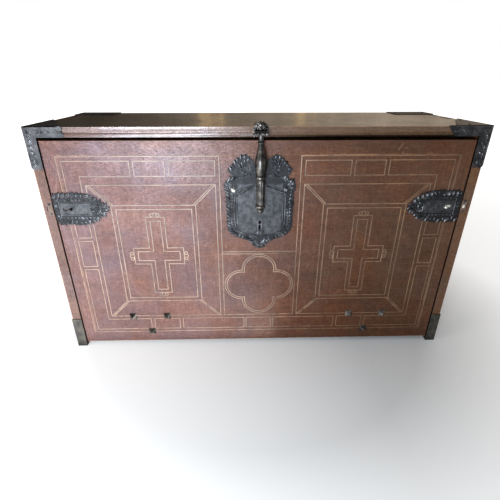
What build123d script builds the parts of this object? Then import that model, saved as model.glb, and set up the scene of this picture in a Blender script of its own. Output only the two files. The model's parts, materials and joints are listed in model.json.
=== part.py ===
from build123d import *
import os
from math import atan2, degrees, hypot, sqrt

# A fall-front writing chest (vargueno): a walnut case with a nest of drawers and a cupboard
# behind a front that falls forward on two hinges. Stringing, a lock with a hanging hasp,
# two slide latches, corner irons and side handles finish it.
#
# Frame: +Z up, the front faces -Y, +X is to the right as one faces it. The origin is on the
# floor under the middle of the chest, halfway between the hasp and the back.
# All sizes are in millimetres.

os.makedirs("parts", exist_ok=True)

# ---------------------------------------------------------------- case
case_width = 1046  # over the side boards
case_height = 608  # floor to the upper face of the top board
case_depth = 350
side_thickness = 24
top_thickness = 22
bottom_thickness = 22
back_thickness = 15
foot_drop = 15  # how far the side boards reach below the bottom board
housing_depth = 8  # grooves in the side boards for the bottom and back boards
tail_width = 38  # dovetails on the side boards' upper ends
tail_flare = 4
tail_pitch = 70

# ---------------------------------------------------------------- fall front
front_thickness = 22
front_side_gap = 1.5
front_top_gap = 7
border_width = 33  # mitred border around the field panel
string_width = 1.4  # boxwood stringing
string_rise = 0.4  # how far the stringing stands out of the wood

# ---------------------------------------------------------------- pattern of the stringing
pattern_side_margin = 29.5  # the front's edge to the outermost string
pattern_top_margin = 35
pattern_bottom_margin = 33
string_pair = 10.5  # the two strings of a double line
band_width = 35.5  # blocks between the outer and the inner double line
column_half_width = 96  # middle column
column_tie_drop = 18  # double line across the middle column, below the lock plate
column_tie_gap = 6.6
field_rise = 54  # lowest string to the lower line of the two bevelled fields
field_inset = 50  # outer line to inner rectangle of a bevelled field
field_pair = 10.5
block_half_width = 35.5  # blocks over and under the crosses, and under the quatrefoil
block_gap = 9.5
middle_block_gap = 6
side_block_drop = 211  # uppermost string to the block at the side
side_block_height = 72
cross_stem = 46  # over the outer line, also the arms
cross_line_gap = 10.2
cross_head = 107  # middle of the arms to the upper end
cross_foot = 111
cross_half_span = 64
finial_radius = 5.5
quatrefoil_lift = 2  # middle of its space to the middle of the quatrefoil
lobe_radius = 45
lobe_offset = 46.5
lobe_line_gap = 5.5
mitre_line_gap = 6

# ---------------------------------------------------------------- hinges of the fall front
hinge_inset = 192.5  # the front's edge to the middle of a hinge
hinge_width = 120
hinge_leaf_height = 84
hinge_leaf_thickness = 2.5
knuckle_radius = 4.5
knuckle_offset = 5  # pin to the front's inner face
knuckle_count = 5
knuckle_gap = 0.4
hinge_pin_radius = 2
pin_clearance = 0.3
swing_clearance = 2  # bottom board to the lower edge of the open front
open_step = 0.5  # how far the open front lies below the bottom board's upper face
hinge_nail_row = 52  # lower nail to the two upper nails
hinge_nail_inset = 12.5  # a leaf's ends to its upper nails
hinge_nail_lift = 33  # the front's lower edge to the lower nail
pyramid_width = 20
pyramid_height = 11
pyramid_tip = 1.5
thick_shank_radius = 2.2

# ---------------------------------------------------------------- ironwork
iron_thickness = 2
nail_radius = 1.2
nail_length = 12
nail_head_radius = 3
nail_head_height = 1.6
nail_clearance = 0.05
nail_inset = 15  # nails to the ends of the irons
stud_radius = 6  # two larger studs on the lock plate
stud_height = 6
corner_rail_arm = 96  # along the top board's front edge
corner_side_arm = 92  # down a side board's front edge
corner_rail_nail = 40
corner_edge_nail = 60
corner_cheek = 75  # back along the side
corner_top_depth = 150  # back over the top board
corner_top_width = 74
corner_foot_height = 93
back_iron_length = 112
back_iron_depth = 70
back_iron_drop = 80

# ---------------------------------------------------------------- hasp
hasp_axis_out = 17.5  # pin to the front's outer face
hasp_axis_drop = 13  # below the top board's upper face
hasp_head_radius = 6.5
hasp_head_width = 18
hasp_neck_radius = 6
hasp_bulb_radius = 14
hasp_waist_radius = 10.5
hasp_shank_radius = 10.2
hasp_ring_radius = 12.2
hasp_ball_radius = 8.8
hasp_neck_drop = 25  # pin to the end of the neck
hasp_bulb_drop = 70
hasp_waist_drop = 87
hasp_ring_drop = 97
hasp_low_ring_drop = 166
hasp_ball_drop = 177.5
hasp_ring_width = 8
hasp_pin_radius = 2.2
bracket_ear_width = 4.5
bracket_width = 31
bracket_tail = 62  # back over the top board
rosette_radius = 18
rosette_drop = 5  # below the top board's upper face
rosette_thickness = 4
rosette_eye_radius = 3
rosette_eye_spread = 8.5
staple_drop = 149  # pin to the middle of the staple
staple_tall = 18
staple_thickness = 4
staple_reach = 19.5  # into the front, from its outer face
staple_root = 3
slot_clearance = 1.5

# ---------------------------------------------------------------- lock
lock_case_width = 120
lock_case_rise = 22  # staple to the top of the lock case
lock_case_drop = 94
lock_case_depth = 14
lock_case_wall = 1.5
lock_fit = 0.2
bolt_height = 8.5
bolt_thickness = 5
bolt_length = 44
bolt_travel = 14
bolt_fit = 0.3
bolt_guide_height = 3
keyhole_below_staple = 64
keyhole_radius = 3.6
keyhole_slit = 4.5
keyhole_drop = 20
plate_half_width = 74
plate_rise = 34  # staple to the upper edge of the plate's body
plate_fall = 92
plate_crest_rise = 74
plate_crest_spread = 36
plate_crest_radius = 25
plate_neck_rise = 59  # staple to the bottom of the notch between the crests
plate_scallop_radius = 11
plate_scallops = 5
plate_shoulder_rise = 49
plate_shoulder_spread = 50
plate_shoulder_radius = 20
plate_foot_radius = 18
plate_drop = 43  # lower edge of the plate's body to its lowest point
plate_nail_low = 18  # lower edge of the plate's body to its nails
plate_nail_high = 57
plate_stud_spread = 63
plate_stud_rise = 19

# ---------------------------------------------------------------- slide latches
latch_drop = 160  # the front's upper edge to the middle of a latch
latch_plate_height = 68
latch_plate_length = 96
latch_tip_length = 128
latch_tip_radius = 19
latch_lobe_radius = 18
latch_scallop_radius = 7
latch_scallops = 5
latch_bolt_length = 112
latch_bolt_height = 10
latch_bolt_thickness = 5
latch_bolt_back = 0.5  # bolt to the back of its plate
latch_travel = 14
latch_fit = 0.6
latch_end_gap = 1
latch_knob_inset = 40  # knob to the front's edge
latch_knob_radius = 4
latch_stem_radius = 2.5
latch_knob_reach = 12
latch_socket_depth = 16
keeper_width = 12
keeper_height = 30

# ---------------------------------------------------------------- side handles
handle_below_top = 213
handle_span = 116
handle_drop = 58
handle_rod_radius = 4.5
handle_bend_radius = 20
handle_turn_radius = 6
handle_axis_out = 10
handle_ear_thickness = 7
handle_ear_radius = 8.5
handle_ear_gap = 0.5
handle_stub = 1.5  # rod past the outside of an ear
handle_plate_length = 176
handle_plate_height = 62
handle_pin_clearance = 0.3

# ---------------------------------------------------------------- drawers and cupboard
recess_depth = 60  # front's inner face to the drawer fronts
gallery_board = 9  # shelves and uprights
low_row_height = 105
middle_bay_width = 230
cornice_height = 35
cornice_depth = 24
cornice_reach = 8
drawer_gap = 1
drawer_rest_gap = 0.3
drawer_front_thickness = 12
drawer_side_thickness = 8
drawer_bottom_thickness = 5
drawer_bottom_rise = 4
drawer_side_drop = 12  # drawer sides below the top of the drawer front
drawer_back_gap = 13
glue_line = 0.1
knob_rose_radius = 9
knob_neck_radius = 3.5
knob_radius = 7
knob_reach = 17
wide_knob_spread = 0.25  # knobs of a wide drawer, as a share of its width each side of the middle
hasp_room = 10.5  # lower end of the hanging hasp to the cupboard's upper shelf
door_thickness = 14
door_pin_radius = 3
door_pin_length = 7
door_pin_fit = 0.3
door_stile = 30
door_sink = 3
door_knob_inset = 18

# ---------------------------------------------------------------- places worked out from the sizes
hasp_reach = hasp_axis_out + hasp_bulb_radius
front_y = -(case_depth - hasp_reach) / 2
back_y = front_y + case_depth
back_inner_y = back_y - back_thickness
case_half = case_width / 2
inner_half = case_half - side_thickness
floor_top = foot_drop + bottom_thickness
ceiling = case_height - top_thickness

front_inner_y = front_y + front_thickness
front_half = inner_half - front_side_gap
front_bottom = foot_drop
front_top = ceiling - front_top_gap
panel_half = front_half - border_width
panel_bottom = front_bottom + border_width
panel_top = front_top - border_width

pivot_y = front_inner_y + knuckle_offset
pivot_z = floor_top + knuckle_offset - open_step
bottom_front_y = pivot_y + (pivot_z - front_bottom) + swing_clearance

gallery_y = front_inner_y + recess_depth
column_half = middle_bay_width / 2
cornice_bottom = ceiling - cornice_height
tall_row_height = (cornice_bottom - floor_top) / 2 - low_row_height - 2 * gallery_board
rows = [low_row_height, tall_row_height, tall_row_height, low_row_height]
row_floors = [floor_top + gallery_board]
for row_height in rows:
    row_floors.append(row_floors[-1] + row_height + gallery_board)

hasp_y = front_y - hasp_axis_out
hasp_axis_height = case_height - hasp_axis_drop
hasp_neck_end = hasp_axis_height - hasp_neck_drop
hasp_bulb_height = hasp_axis_height - hasp_bulb_drop
hasp_waist_height = hasp_axis_height - hasp_waist_drop
hasp_ring_height = hasp_axis_height - hasp_ring_drop
hasp_low_ring_height = hasp_axis_height - hasp_low_ring_drop
hasp_ball_height = hasp_axis_height - hasp_ball_drop
rosette_height = case_height - rosette_drop
staple_height = hasp_axis_height - staple_drop
staple_low = staple_height - staple_tall / 2
staple_high = staple_height + staple_tall / 2
staple_swing = hypot(hasp_axis_out + staple_reach, hasp_axis_height - staple_low)
staple_dip = sqrt(staple_swing**2 - (hasp_axis_out - iron_thickness) ** 2)
slot_low = hasp_axis_height - staple_dip - slot_clearance
slot_high = staple_high + slot_clearance
slot_half = staple_thickness / 2 + slot_clearance
lock_case_top = staple_height + lock_case_rise
lock_case_bottom = staple_height - lock_case_drop
keyhole_height = staple_height - keyhole_below_staple
plate_top = staple_height + plate_rise
plate_bottom = staple_height - plate_fall
plate_lowest = plate_bottom - plate_drop
lock_back_y = front_inner_y
lock_front_y = lock_back_y - lock_case_depth
bolt_middle_y = front_y + staple_reach - bolt_thickness

latch_height = front_top - latch_drop
groove_depth = latch_bolt_back + latch_bolt_thickness + latch_fit
groove_half = latch_bolt_height / 2 + latch_fit
groove_z = (latch_height - groove_half, latch_height + groove_half)

pattern_half_width = front_half - pattern_side_margin
pattern_top = front_top - pattern_top_margin
pattern_bottom = front_bottom + pattern_bottom_margin
field_bottom = pattern_bottom + field_rise
field_top = pattern_top - 2 * string_pair - band_width - string_pair
cross_centre_height = (field_bottom + field_top) / 2
column_tie_height = plate_lowest - column_tie_drop
quatrefoil_height = (field_bottom + column_tie_height) / 2 + quatrefoil_lift
hinge_spread = front_half - hinge_inset

handle_height = case_height - handle_below_top
case_edge = case_half + iron_thickness
top_edge = case_height + iron_thickness
hands = ((-1, "left"), (1, "right"))


# ---------------------------------------------------------------- helpers
def facing_front(y):
    """Plane at depth y that looks out of the front, with x to the right and z up."""
    return Plane.XZ.offset(-y)


def slab(x_ends, y_ends, z_ends, mode=Mode.ADD):
    """Box between two values on each axis, given in any order."""
    ends = (x_ends, y_ends, z_ends)
    with Locations(tuple(sum(pair) / 2 for pair in ends)):
        Box(*(abs(pair[1] - pair[0]) for pair in ends), mode=mode)


def nail_seats(points, out):
    """Planes at the points, looking along out, on which nail heads sit."""
    return [Plane(origin=point, z_dir=out) for point in points]


def drill(seats, radius=nail_radius + nail_clearance, depth=nail_length + 1):
    """Holes that run inwards from the seats."""
    with Locations(*seats):
        Cylinder(radius, depth, align=(Align.CENTER, Align.CENTER, Align.MAX), mode=Mode.SUBTRACT)


def round_nails(seats):
    """Small nails with low domed heads."""
    with Locations(*seats):
        Cylinder(nail_radius, nail_length, align=(Align.CENTER, Align.CENTER, Align.MAX))
        Cone(nail_head_radius, nail_radius, nail_head_height, align=(Align.CENTER, Align.CENTER, Align.MIN))


def string_path(*points, closed=False):
    """One string of the inlay along straight runs."""
    with BuildLine() as path:
        Polyline(*points, close=closed)
    trace(path.line, line_width=string_width)


def string_box(x_ends, z_ends):
    """A rectangle of stringing."""
    (x_low, x_high), (z_low, z_high) = x_ends, z_ends
    string_path((x_low, z_low), (x_high, z_low), (x_high, z_high), (x_low, z_high), closed=True)


def string_ring(x, z, radius):
    """A ring of stringing."""
    with Locations((x, z)):
        Circle(radius + string_width / 2)
        Circle(radius - string_width / 2, mode=Mode.SUBTRACT)


def string_lobes(x, z, radius):
    """A quatrefoil of stringing, its four lobes cut off where they meet."""
    corner = (lobe_offset + sqrt(2 * radius**2 - lobe_offset**2)) / 2
    half_turn = degrees(atan2(corner, corner - lobe_offset))
    middles = ((lobe_offset, 0), (0, lobe_offset), (-lobe_offset, 0), (0, -lobe_offset))
    for quarter, (aside, up) in enumerate(middles):
        with BuildLine() as path:
            CenterArc((x + aside, z + up), radius, 90 * quarter - half_turn, 2 * half_turn)
        trace(path.line, line_width=string_width)


def string_cross(x, gap):
    """A Latin cross of stringing, drawn in by gap from its outer line."""
    arm = cross_stem / 2 - gap
    top = cross_centre_height + cross_head - gap
    bottom = cross_centre_height - cross_foot + gap
    middle = cross_centre_height
    right = (
        (x + arm, top),
        (x + arm, middle + arm),
        (x + cross_half_span - gap, middle + arm),
        (x + cross_half_span - gap, middle - arm),
        (x + arm, middle - arm),
        (x + arm, bottom),
    )
    left = [(2 * x - across, up) for across, up in reversed(right)]
    string_path(*right, *left, closed=True)


def latch_outline(hand):
    """Outline of a slide latch's plate: scalloped along both edges, with a lobed leaf at its end."""
    end = hand * front_half
    with Locations((end - hand * latch_plate_length / 2, latch_height)):
        Rectangle(latch_plate_length, latch_plate_height)
    step = latch_plate_length / latch_scallops
    edges = [latch_height - latch_plate_height / 2, latch_height + latch_plate_height / 2]
    along = [end - hand * (step * (n + 1) - latch_scallop_radius) for n in range(latch_scallops)]
    with Locations(*[(x, z) for x in along for z in edges]):
        Circle(latch_scallop_radius)
    lobe_x = end - hand * latch_plate_length
    lobe_z = latch_plate_height / 2 - latch_lobe_radius
    with Locations((lobe_x, latch_height + lobe_z), (lobe_x, latch_height - lobe_z)):
        Circle(latch_lobe_radius)
    with Locations((end - hand * (latch_tip_length - latch_tip_radius), latch_height)):
        Circle(latch_tip_radius)


def corner_sketch(hand, arm, width_up, z_corner, up):
    """L of iron on the front edges at a corner, its two arms ending in points."""
    outer, inner = hand * case_edge, hand * inner_half
    tip = hand * (case_edge - arm)
    low = z_corner - up * width_up
    neck = hand * nail_head_radius * 2
    with BuildLine() as outline:
        Polyline(
            (outer, z_corner),
            (tip, z_corner),
            (tip - neck, (z_corner + low) / 2),
            (tip, low),
            (inner, low),
            (inner, z_corner - up * corner_side_arm),
            ((inner + outer) / 2, z_corner - up * (corner_side_arm + abs(neck))),
            (outer, z_corner - up * corner_side_arm),
            close=True,
        )
    make_face(outline.line)


# ---------------------------------------------------------------- where the nails go
rail_middle = (ceiling + case_height) / 2
edge_middle = (inner_half + case_half) / 2
tail_count = round(case_depth / tail_pitch)
tail_middles = [front_y + case_depth * (n + 0.5) / tail_count for n in range(tail_count)]
case_nails = []
front_nails = []
for hand, _ in hands:
    rail_insets = (corner_rail_nail, corner_rail_arm - nail_inset)
    rail_nails = [(hand * (case_half - inset), rail_middle) for inset in rail_insets]
    edge_nails = [(hand * edge_middle, case_height - corner_edge_nail)]
    foot_nails = [(hand * edge_middle, z) for z in (nail_inset, corner_foot_height - nail_inset)]
    keeper_nails = [
        (hand * (inner_half + keeper_width / 2 + 1), latch_height + shift)
        for shift in (-keeper_height / 2 + nail_head_radius, keeper_height / 2 - nail_head_radius)
    ]
    iron_points = [*rail_nails, *edge_nails, *foot_nails, *keeper_nails]
    case_nails += nail_seats([(x, front_y - iron_thickness, z) for x, z in iron_points], (0, -1, 0))
    cheek_y = front_y + corner_cheek - nail_inset
    side_points = [(cheek_y, corner_foot_height / 2), (cheek_y, case_height - corner_side_arm / 2)]
    side_points += [(back_y - nail_inset, case_height - back_iron_drop + nail_inset)]
    case_nails += nail_seats([(hand * case_edge, y, z) for y, z in side_points], (hand, 0, 0))
    top_points = [
        (case_half - nail_inset, tail_middles[1]),
        (case_half - corner_top_width * 0.6, front_y + nail_inset),
        (case_half - nail_inset, tail_middles[-1]),
        (case_half - back_iron_length + nail_inset, back_y - back_iron_depth / 2),
    ]
    case_nails += nail_seats([(hand * x, y, top_edge) for x, y in top_points], (0, 0, 1))
    tail_nail = (hand * bracket_width * 0.3, front_y + bracket_tail - nail_inset, top_edge)
    case_nails += nail_seats([tail_nail], (0, 0, 1))
    handle_points = [
        (
            (front_y + back_y) / 2 + shift * (handle_plate_length / 2 - nail_inset * 0.7),
            handle_height + lift * (handle_plate_height / 2 - nail_inset * 0.7),
        )
        for shift in (-1, 1)
        for lift in (-1, 1)
    ]
    case_nails += nail_seats([(hand * case_edge, y, z) for y, z in handle_points], (hand, 0, 0))
    leaf_y = (bottom_front_y + gallery_y) / 2
    shifts = (-hinge_width / 3, 0, hinge_width / 3)
    floor_points = [(hand * hinge_spread + shift, leaf_y) for shift in shifts]
    leaf_top = floor_top + hinge_leaf_thickness
    case_nails += nail_seats([(x, y, leaf_top) for x, y in floor_points], (0, 0, 1))
    latch_points = [
        (front_half - latch_plate_length * along, latch_height + lift * latch_plate_height * 0.4)
        for along in (0.15, 0.8)
        for lift in (-1, 1)
    ]
    latch_points += [(front_half - latch_tip_length + latch_tip_radius / 2, latch_height)]
    plate_points = [(plate_half_width, plate_bottom + up) for up in (plate_nail_low, plate_nail_high)]
    plate_points += [(plate_crest_spread, staple_height + plate_crest_rise)]
    front_points = [(hand * x, front_y - iron_thickness, z) for x, z in latch_points + plate_points]
    front_nails += nail_seats(front_points, (0, -1, 0))

stud_z = staple_height + plate_stud_rise
stud_points = [(hand * plate_stud_spread, front_y - iron_thickness, stud_z) for hand, _ in hands]
studs = nail_seats(stud_points, (0, -1, 0))
hinge_nail_points = []
hinge_nail_spread = hinge_width / 2 - hinge_nail_inset
for hand, _ in hands:
    hinge_nail_low = front_bottom + hinge_nail_lift
    hinge_nail_points.append((hand * hinge_spread, hinge_nail_low))
    for shift in (-hinge_nail_spread, hinge_nail_spread):
        hinge_nail_points.append((hand * hinge_spread + shift, hinge_nail_low + hinge_nail_row))
hinge_nails = nail_seats([(x, front_y, z) for x, z in hinge_nail_points], (0, -1, 0))

# ---------------------------------------------------------------- case boards
socket_end = inner_half + latch_socket_depth

for hand, side in hands:
    with BuildPart() as side_board:
        slab((hand * inner_half, hand * case_half), (front_y, back_y), (0, ceiling))
        with BuildSketch(Plane.YZ.offset(hand * inner_half)):
            for y in tail_middles:
                half = tail_width / 2
                with BuildLine():
                    Polyline(
                        (y - half, ceiling),
                        (y + half, ceiling),
                        (y + half + tail_flare, case_height),
                        (y - half - tail_flare, case_height),
                        close=True,
                    )
                make_face()
        extrude(amount=hand * side_thickness)
        housing = (hand * inner_half, hand * (inner_half + housing_depth))
        slab(housing, (bottom_front_y, back_inner_y), (foot_drop, floor_top), Mode.SUBTRACT)
        slab(housing, (back_inner_y, back_y), (foot_drop, ceiling), Mode.SUBTRACT)
        slab(
            (hand * inner_half, hand * socket_end),
            (front_y, front_y + groove_depth),
            groove_z,
            Mode.SUBTRACT,
        )
        drill(case_nails)
    side_board.part.label = f"{side}_side_board"
    export_step(side_board.part, f"parts/{side}_side_board.step")

with BuildPart() as top_board:
    slab((-case_half, case_half), (front_y, back_y), (ceiling, case_height))
    with BuildSketch(Plane.YZ.offset(-case_half)):
        for y in tail_middles:
            half = tail_width / 2
            with BuildLine():
                Polyline(
                    (y - half, ceiling),
                    (y + half, ceiling),
                    (y + half + tail_flare, case_height),
                    (y - half - tail_flare, case_height),
                    close=True,
                )
            make_face()
    extrude(amount=side_thickness, mode=Mode.SUBTRACT)
    mirror(about=Plane.YZ, mode=Mode.INTERSECT)
    drill(case_nails)
top_board.part.label = "top_board"
export_step(top_board.part, "parts/top_board.step")

with BuildPart() as bottom_board:
    board_half = inner_half + housing_depth
    slab((-board_half, board_half), (bottom_front_y, back_inner_y), (foot_drop, floor_top))
    drill(case_nails)
bottom_board.part.label = "bottom_board"
export_step(bottom_board.part, "parts/bottom_board.step")

with BuildPart() as back_board:
    slab((-board_half, board_half), (back_inner_y, back_y), (foot_drop, ceiling))
back_board.part.label = "back_board"
export_step(back_board.part, "parts/back_board.step")

# ---------------------------------------------------------------- nest of drawers
with BuildPart() as gallery_base:
    slab((-inner_half, inner_half), (gallery_y, back_inner_y), (floor_top, row_floors[0]))
gallery_base.part.label = "gallery_base"
export_step(gallery_base.part, "parts/gallery_base.step")

upright_outer = column_half + gallery_board
for hand, side in hands:
    with BuildPart() as upright:
        slab(
            (hand * column_half, hand * upright_outer),
            (gallery_y, back_inner_y),
            (row_floors[0], cornice_bottom),
        )
    upright.part.label = f"gallery_upright_{side}"
    export_step(upright.part, f"parts/gallery_upright_{side}.step")

    with BuildPart() as side_shelves:
        for floor in row_floors[1:-1]:
            slab(
                (hand * upright_outer, hand * inner_half),
                (gallery_y, back_inner_y),
                (floor - gallery_board, floor),
            )
    side_shelves.part.label = f"gallery_shelves_{side}"
    export_step(side_shelves.part, f"parts/gallery_shelves_{side}.step")

door_low = row_floors[1]
door_high = hasp_ball_height - hasp_ball_radius - hasp_room
door_half = column_half - drawer_gap
door_pin_x = -(door_half - door_thickness / 2)
door_pin_y = gallery_y + door_thickness / 2
pin_hole_radius = door_pin_radius + door_pin_fit
with BuildPart() as middle_shelves:
    for floor in (door_low, door_high + gallery_board):
        slab((-column_half, column_half), (gallery_y, back_inner_y), (floor - gallery_board, floor))
    with Locations((door_pin_x, door_pin_y, door_low), (door_pin_x, door_pin_y, door_high)):
        Cylinder(pin_hole_radius, 2 * (door_pin_length + drawer_gap), mode=Mode.SUBTRACT)
middle_shelves.part.label = "gallery_shelves_middle"
export_step(middle_shelves.part, "parts/gallery_shelves_middle.step")

with BuildPart() as cornice:
    with BuildSketch(Plane.YZ.offset(-inner_half)):
        with BuildLine():
            Polyline(
                (gallery_y, cornice_bottom),
                (gallery_y + cornice_depth, cornice_bottom),
                (gallery_y + cornice_depth, ceiling),
                (gallery_y - cornice_reach, ceiling),
                (gallery_y - cornice_reach, ceiling - gallery_board),
            )
            Spline(
                (gallery_y - cornice_reach, ceiling - gallery_board),
                (gallery_y - cornice_reach * 0.4, (cornice_bottom + ceiling) / 2),
                (gallery_y, cornice_bottom),
            )
        make_face()
    extrude(amount=2 * inner_half)
cornice.part.label = "gallery_cornice"
export_step(cornice.part, "parts/gallery_cornice.step")


def knob(x, y, z):
    """Turned knob that stands out from depth y."""
    rose = 2
    with Locations(Plane(origin=(x, y, z), z_dir=(0, -1, 0))):
        Cylinder(knob_rose_radius, rose, align=(Align.CENTER, Align.CENTER, Align.MIN))
        Cylinder(knob_neck_radius, knob_reach - knob_radius, align=(Align.CENTER, Align.CENTER, Align.MIN))
        with Locations((0, 0, knob_reach - knob_radius)):
            Sphere(knob_radius)


bays = {
    "left": (-inner_half, -upright_outer),
    "middle": (-column_half, column_half),
    "right": (upright_outer, inner_half),
}
row_names = ("bottom", "lower", "upper", "top")
for row, row_name in enumerate(row_names):
    for bay, (bay_left, bay_right) in bays.items():
        if bay == "middle" and row > 0:
            continue
        left, right = bay_left + drawer_gap, bay_right - drawer_gap
        low = row_floors[row] + drawer_rest_gap
        high = row_floors[row] + rows[row] - drawer_gap
        rear_y = back_inner_y - drawer_back_gap
        box_y = gallery_y + drawer_front_thickness + glue_line
        rim = high - drawer_side_drop
        wall = drawer_side_thickness
        inside = (left + wall + glue_line, right - wall - glue_line)
        tray = low + drawer_bottom_rise
        with BuildPart() as drawer:
            slab((left, right), (gallery_y, gallery_y + drawer_front_thickness), (low, high))
            slab((left, left + wall), (box_y, rear_y), (low, rim))
            slab((right - wall, right), (box_y, rear_y), (low, rim))
            slab(inside, (rear_y - wall, rear_y), (low, rim))
            slab(inside, (box_y, rear_y - wall - glue_line), (tray, tray + drawer_bottom_thickness))
            middle, spread = (left + right) / 2, (right - left) * wide_knob_spread
            places = [middle] if bay == "middle" else [middle - spread, middle + spread]
            for x in places:
                knob(x, gallery_y - glue_line, (low + high) / 2)
        drawer.part.label = f"drawer_{row_name}_{bay}"
        export_step(drawer.part, f"parts/drawer_{row_name}_{bay}.step")

with BuildPart() as cupboard_door:
    door_z = (door_low + drawer_gap, door_high - drawer_gap)
    slab((door_pin_x, door_half), (gallery_y, gallery_y + door_thickness), door_z)
    with Locations((door_pin_x, door_pin_y, sum(door_z) / 2)):
        Cylinder(door_thickness / 2, door_z[1] - door_z[0])
    for z, up in ((door_z[0], Align.MAX), (door_z[1], Align.MIN)):
        with Locations((door_pin_x, door_pin_y, z)):
            Cylinder(door_pin_radius, door_pin_length, align=(Align.CENTER, Align.CENTER, up))
    slab(
        (-door_half + door_stile, door_half - door_stile),
        (gallery_y, gallery_y + door_sink),
        (door_z[0] + door_stile, door_z[1] - door_stile),
        Mode.SUBTRACT,
    )
    knob(door_half - door_knob_inset, gallery_y - glue_line, sum(door_z) / 2)
cupboard_door.part.label = "cupboard_door"
export_step(cupboard_door.part, "parts/cupboard_door.step")

# ---------------------------------------------------------------- fall front
plate_slot = (slot_low, slot_high)
groove_end = front_half - latch_end_gap - latch_bolt_length - latch_fit


def cut_for_latches():
    """Grooves for the latch bolts in the outer face."""
    for hand, _ in hands:
        groove_x = (hand * groove_end, hand * front_half)
        slab(groove_x, (front_y, front_y + groove_depth), groove_z, Mode.SUBTRACT)


def cut_keyhole(y_ends):
    """Round hole with a slit under it."""
    middle = ((y_ends[0] + y_ends[1]) / 2, abs(y_ends[1] - y_ends[0]))
    with Locations(Plane(origin=(0, middle[0], keyhole_height), z_dir=(0, -1, 0))):
        Cylinder(keyhole_radius, middle[1], mode=Mode.SUBTRACT)
    slit = keyhole_slit / 2
    slab((-slit, slit), y_ends, (keyhole_height - keyhole_drop, keyhole_height), Mode.SUBTRACT)


with BuildPart() as front_panel:
    slab((-panel_half, panel_half), (front_y, front_inner_y), (panel_bottom, panel_top))
    mortise_half = lock_case_width / 2 + lock_fit
    slab(
        (-mortise_half, mortise_half),
        (lock_front_y - lock_fit, front_inner_y),
        (lock_case_bottom - lock_fit, lock_case_top + lock_fit),
        Mode.SUBTRACT,
    )
    slab((-slot_half, slot_half), (front_y, lock_front_y), plate_slot, Mode.SUBTRACT)
    cut_keyhole((front_y, lock_front_y))
    cut_for_latches()
    drill(front_nails + studs)
    drill(hinge_nails, thick_shank_radius + nail_clearance, front_thickness)
front_panel.part.label = "front_panel"
export_step(front_panel.part, "parts/front_panel.step")

outer_corners = [
    (-front_half, front_bottom),
    (front_half, front_bottom),
    (front_half, front_top),
    (-front_half, front_top),
]
inner_corners = [
    (-panel_half, panel_bottom),
    (panel_half, panel_bottom),
    (panel_half, panel_top),
    (-panel_half, panel_top),
]
for number, name in enumerate(("bottom", "right", "top", "left")):
    after = (number + 1) % 4
    with BuildPart() as border:
        with BuildSketch(facing_front(front_inner_y)):
            with BuildLine():
                Polyline(
                    outer_corners[number],
                    outer_corners[after],
                    inner_corners[after],
                    inner_corners[number],
                    close=True,
                )
            make_face()
        extrude(amount=front_thickness)
        cut_for_latches()
        drill(front_nails)
        drill(hinge_nails, thick_shank_radius + nail_clearance, front_thickness)
    border.part.label = f"front_border_{name}"
    export_step(border.part, f"parts/front_border_{name}.step")

# ---------------------------------------------------------------- stringing
outer_x = pattern_half_width
inner_x = outer_x - string_pair
band_x = inner_x - band_width
field_right = band_x - string_pair
field_left = column_half_width + string_pair
field_middle = (field_left + inner_x) / 2 - (inner_x - field_right) / 2
inner_top = pattern_top - string_pair
band_top = inner_top - band_width
side_block_top = pattern_top - side_block_drop
side_block_bottom = side_block_top - side_block_height
low_string = pattern_bottom + string_pair * 0.9
low_band = field_bottom - string_pair
block_left = field_middle - block_half_width
block_right = field_middle + block_half_width

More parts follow.
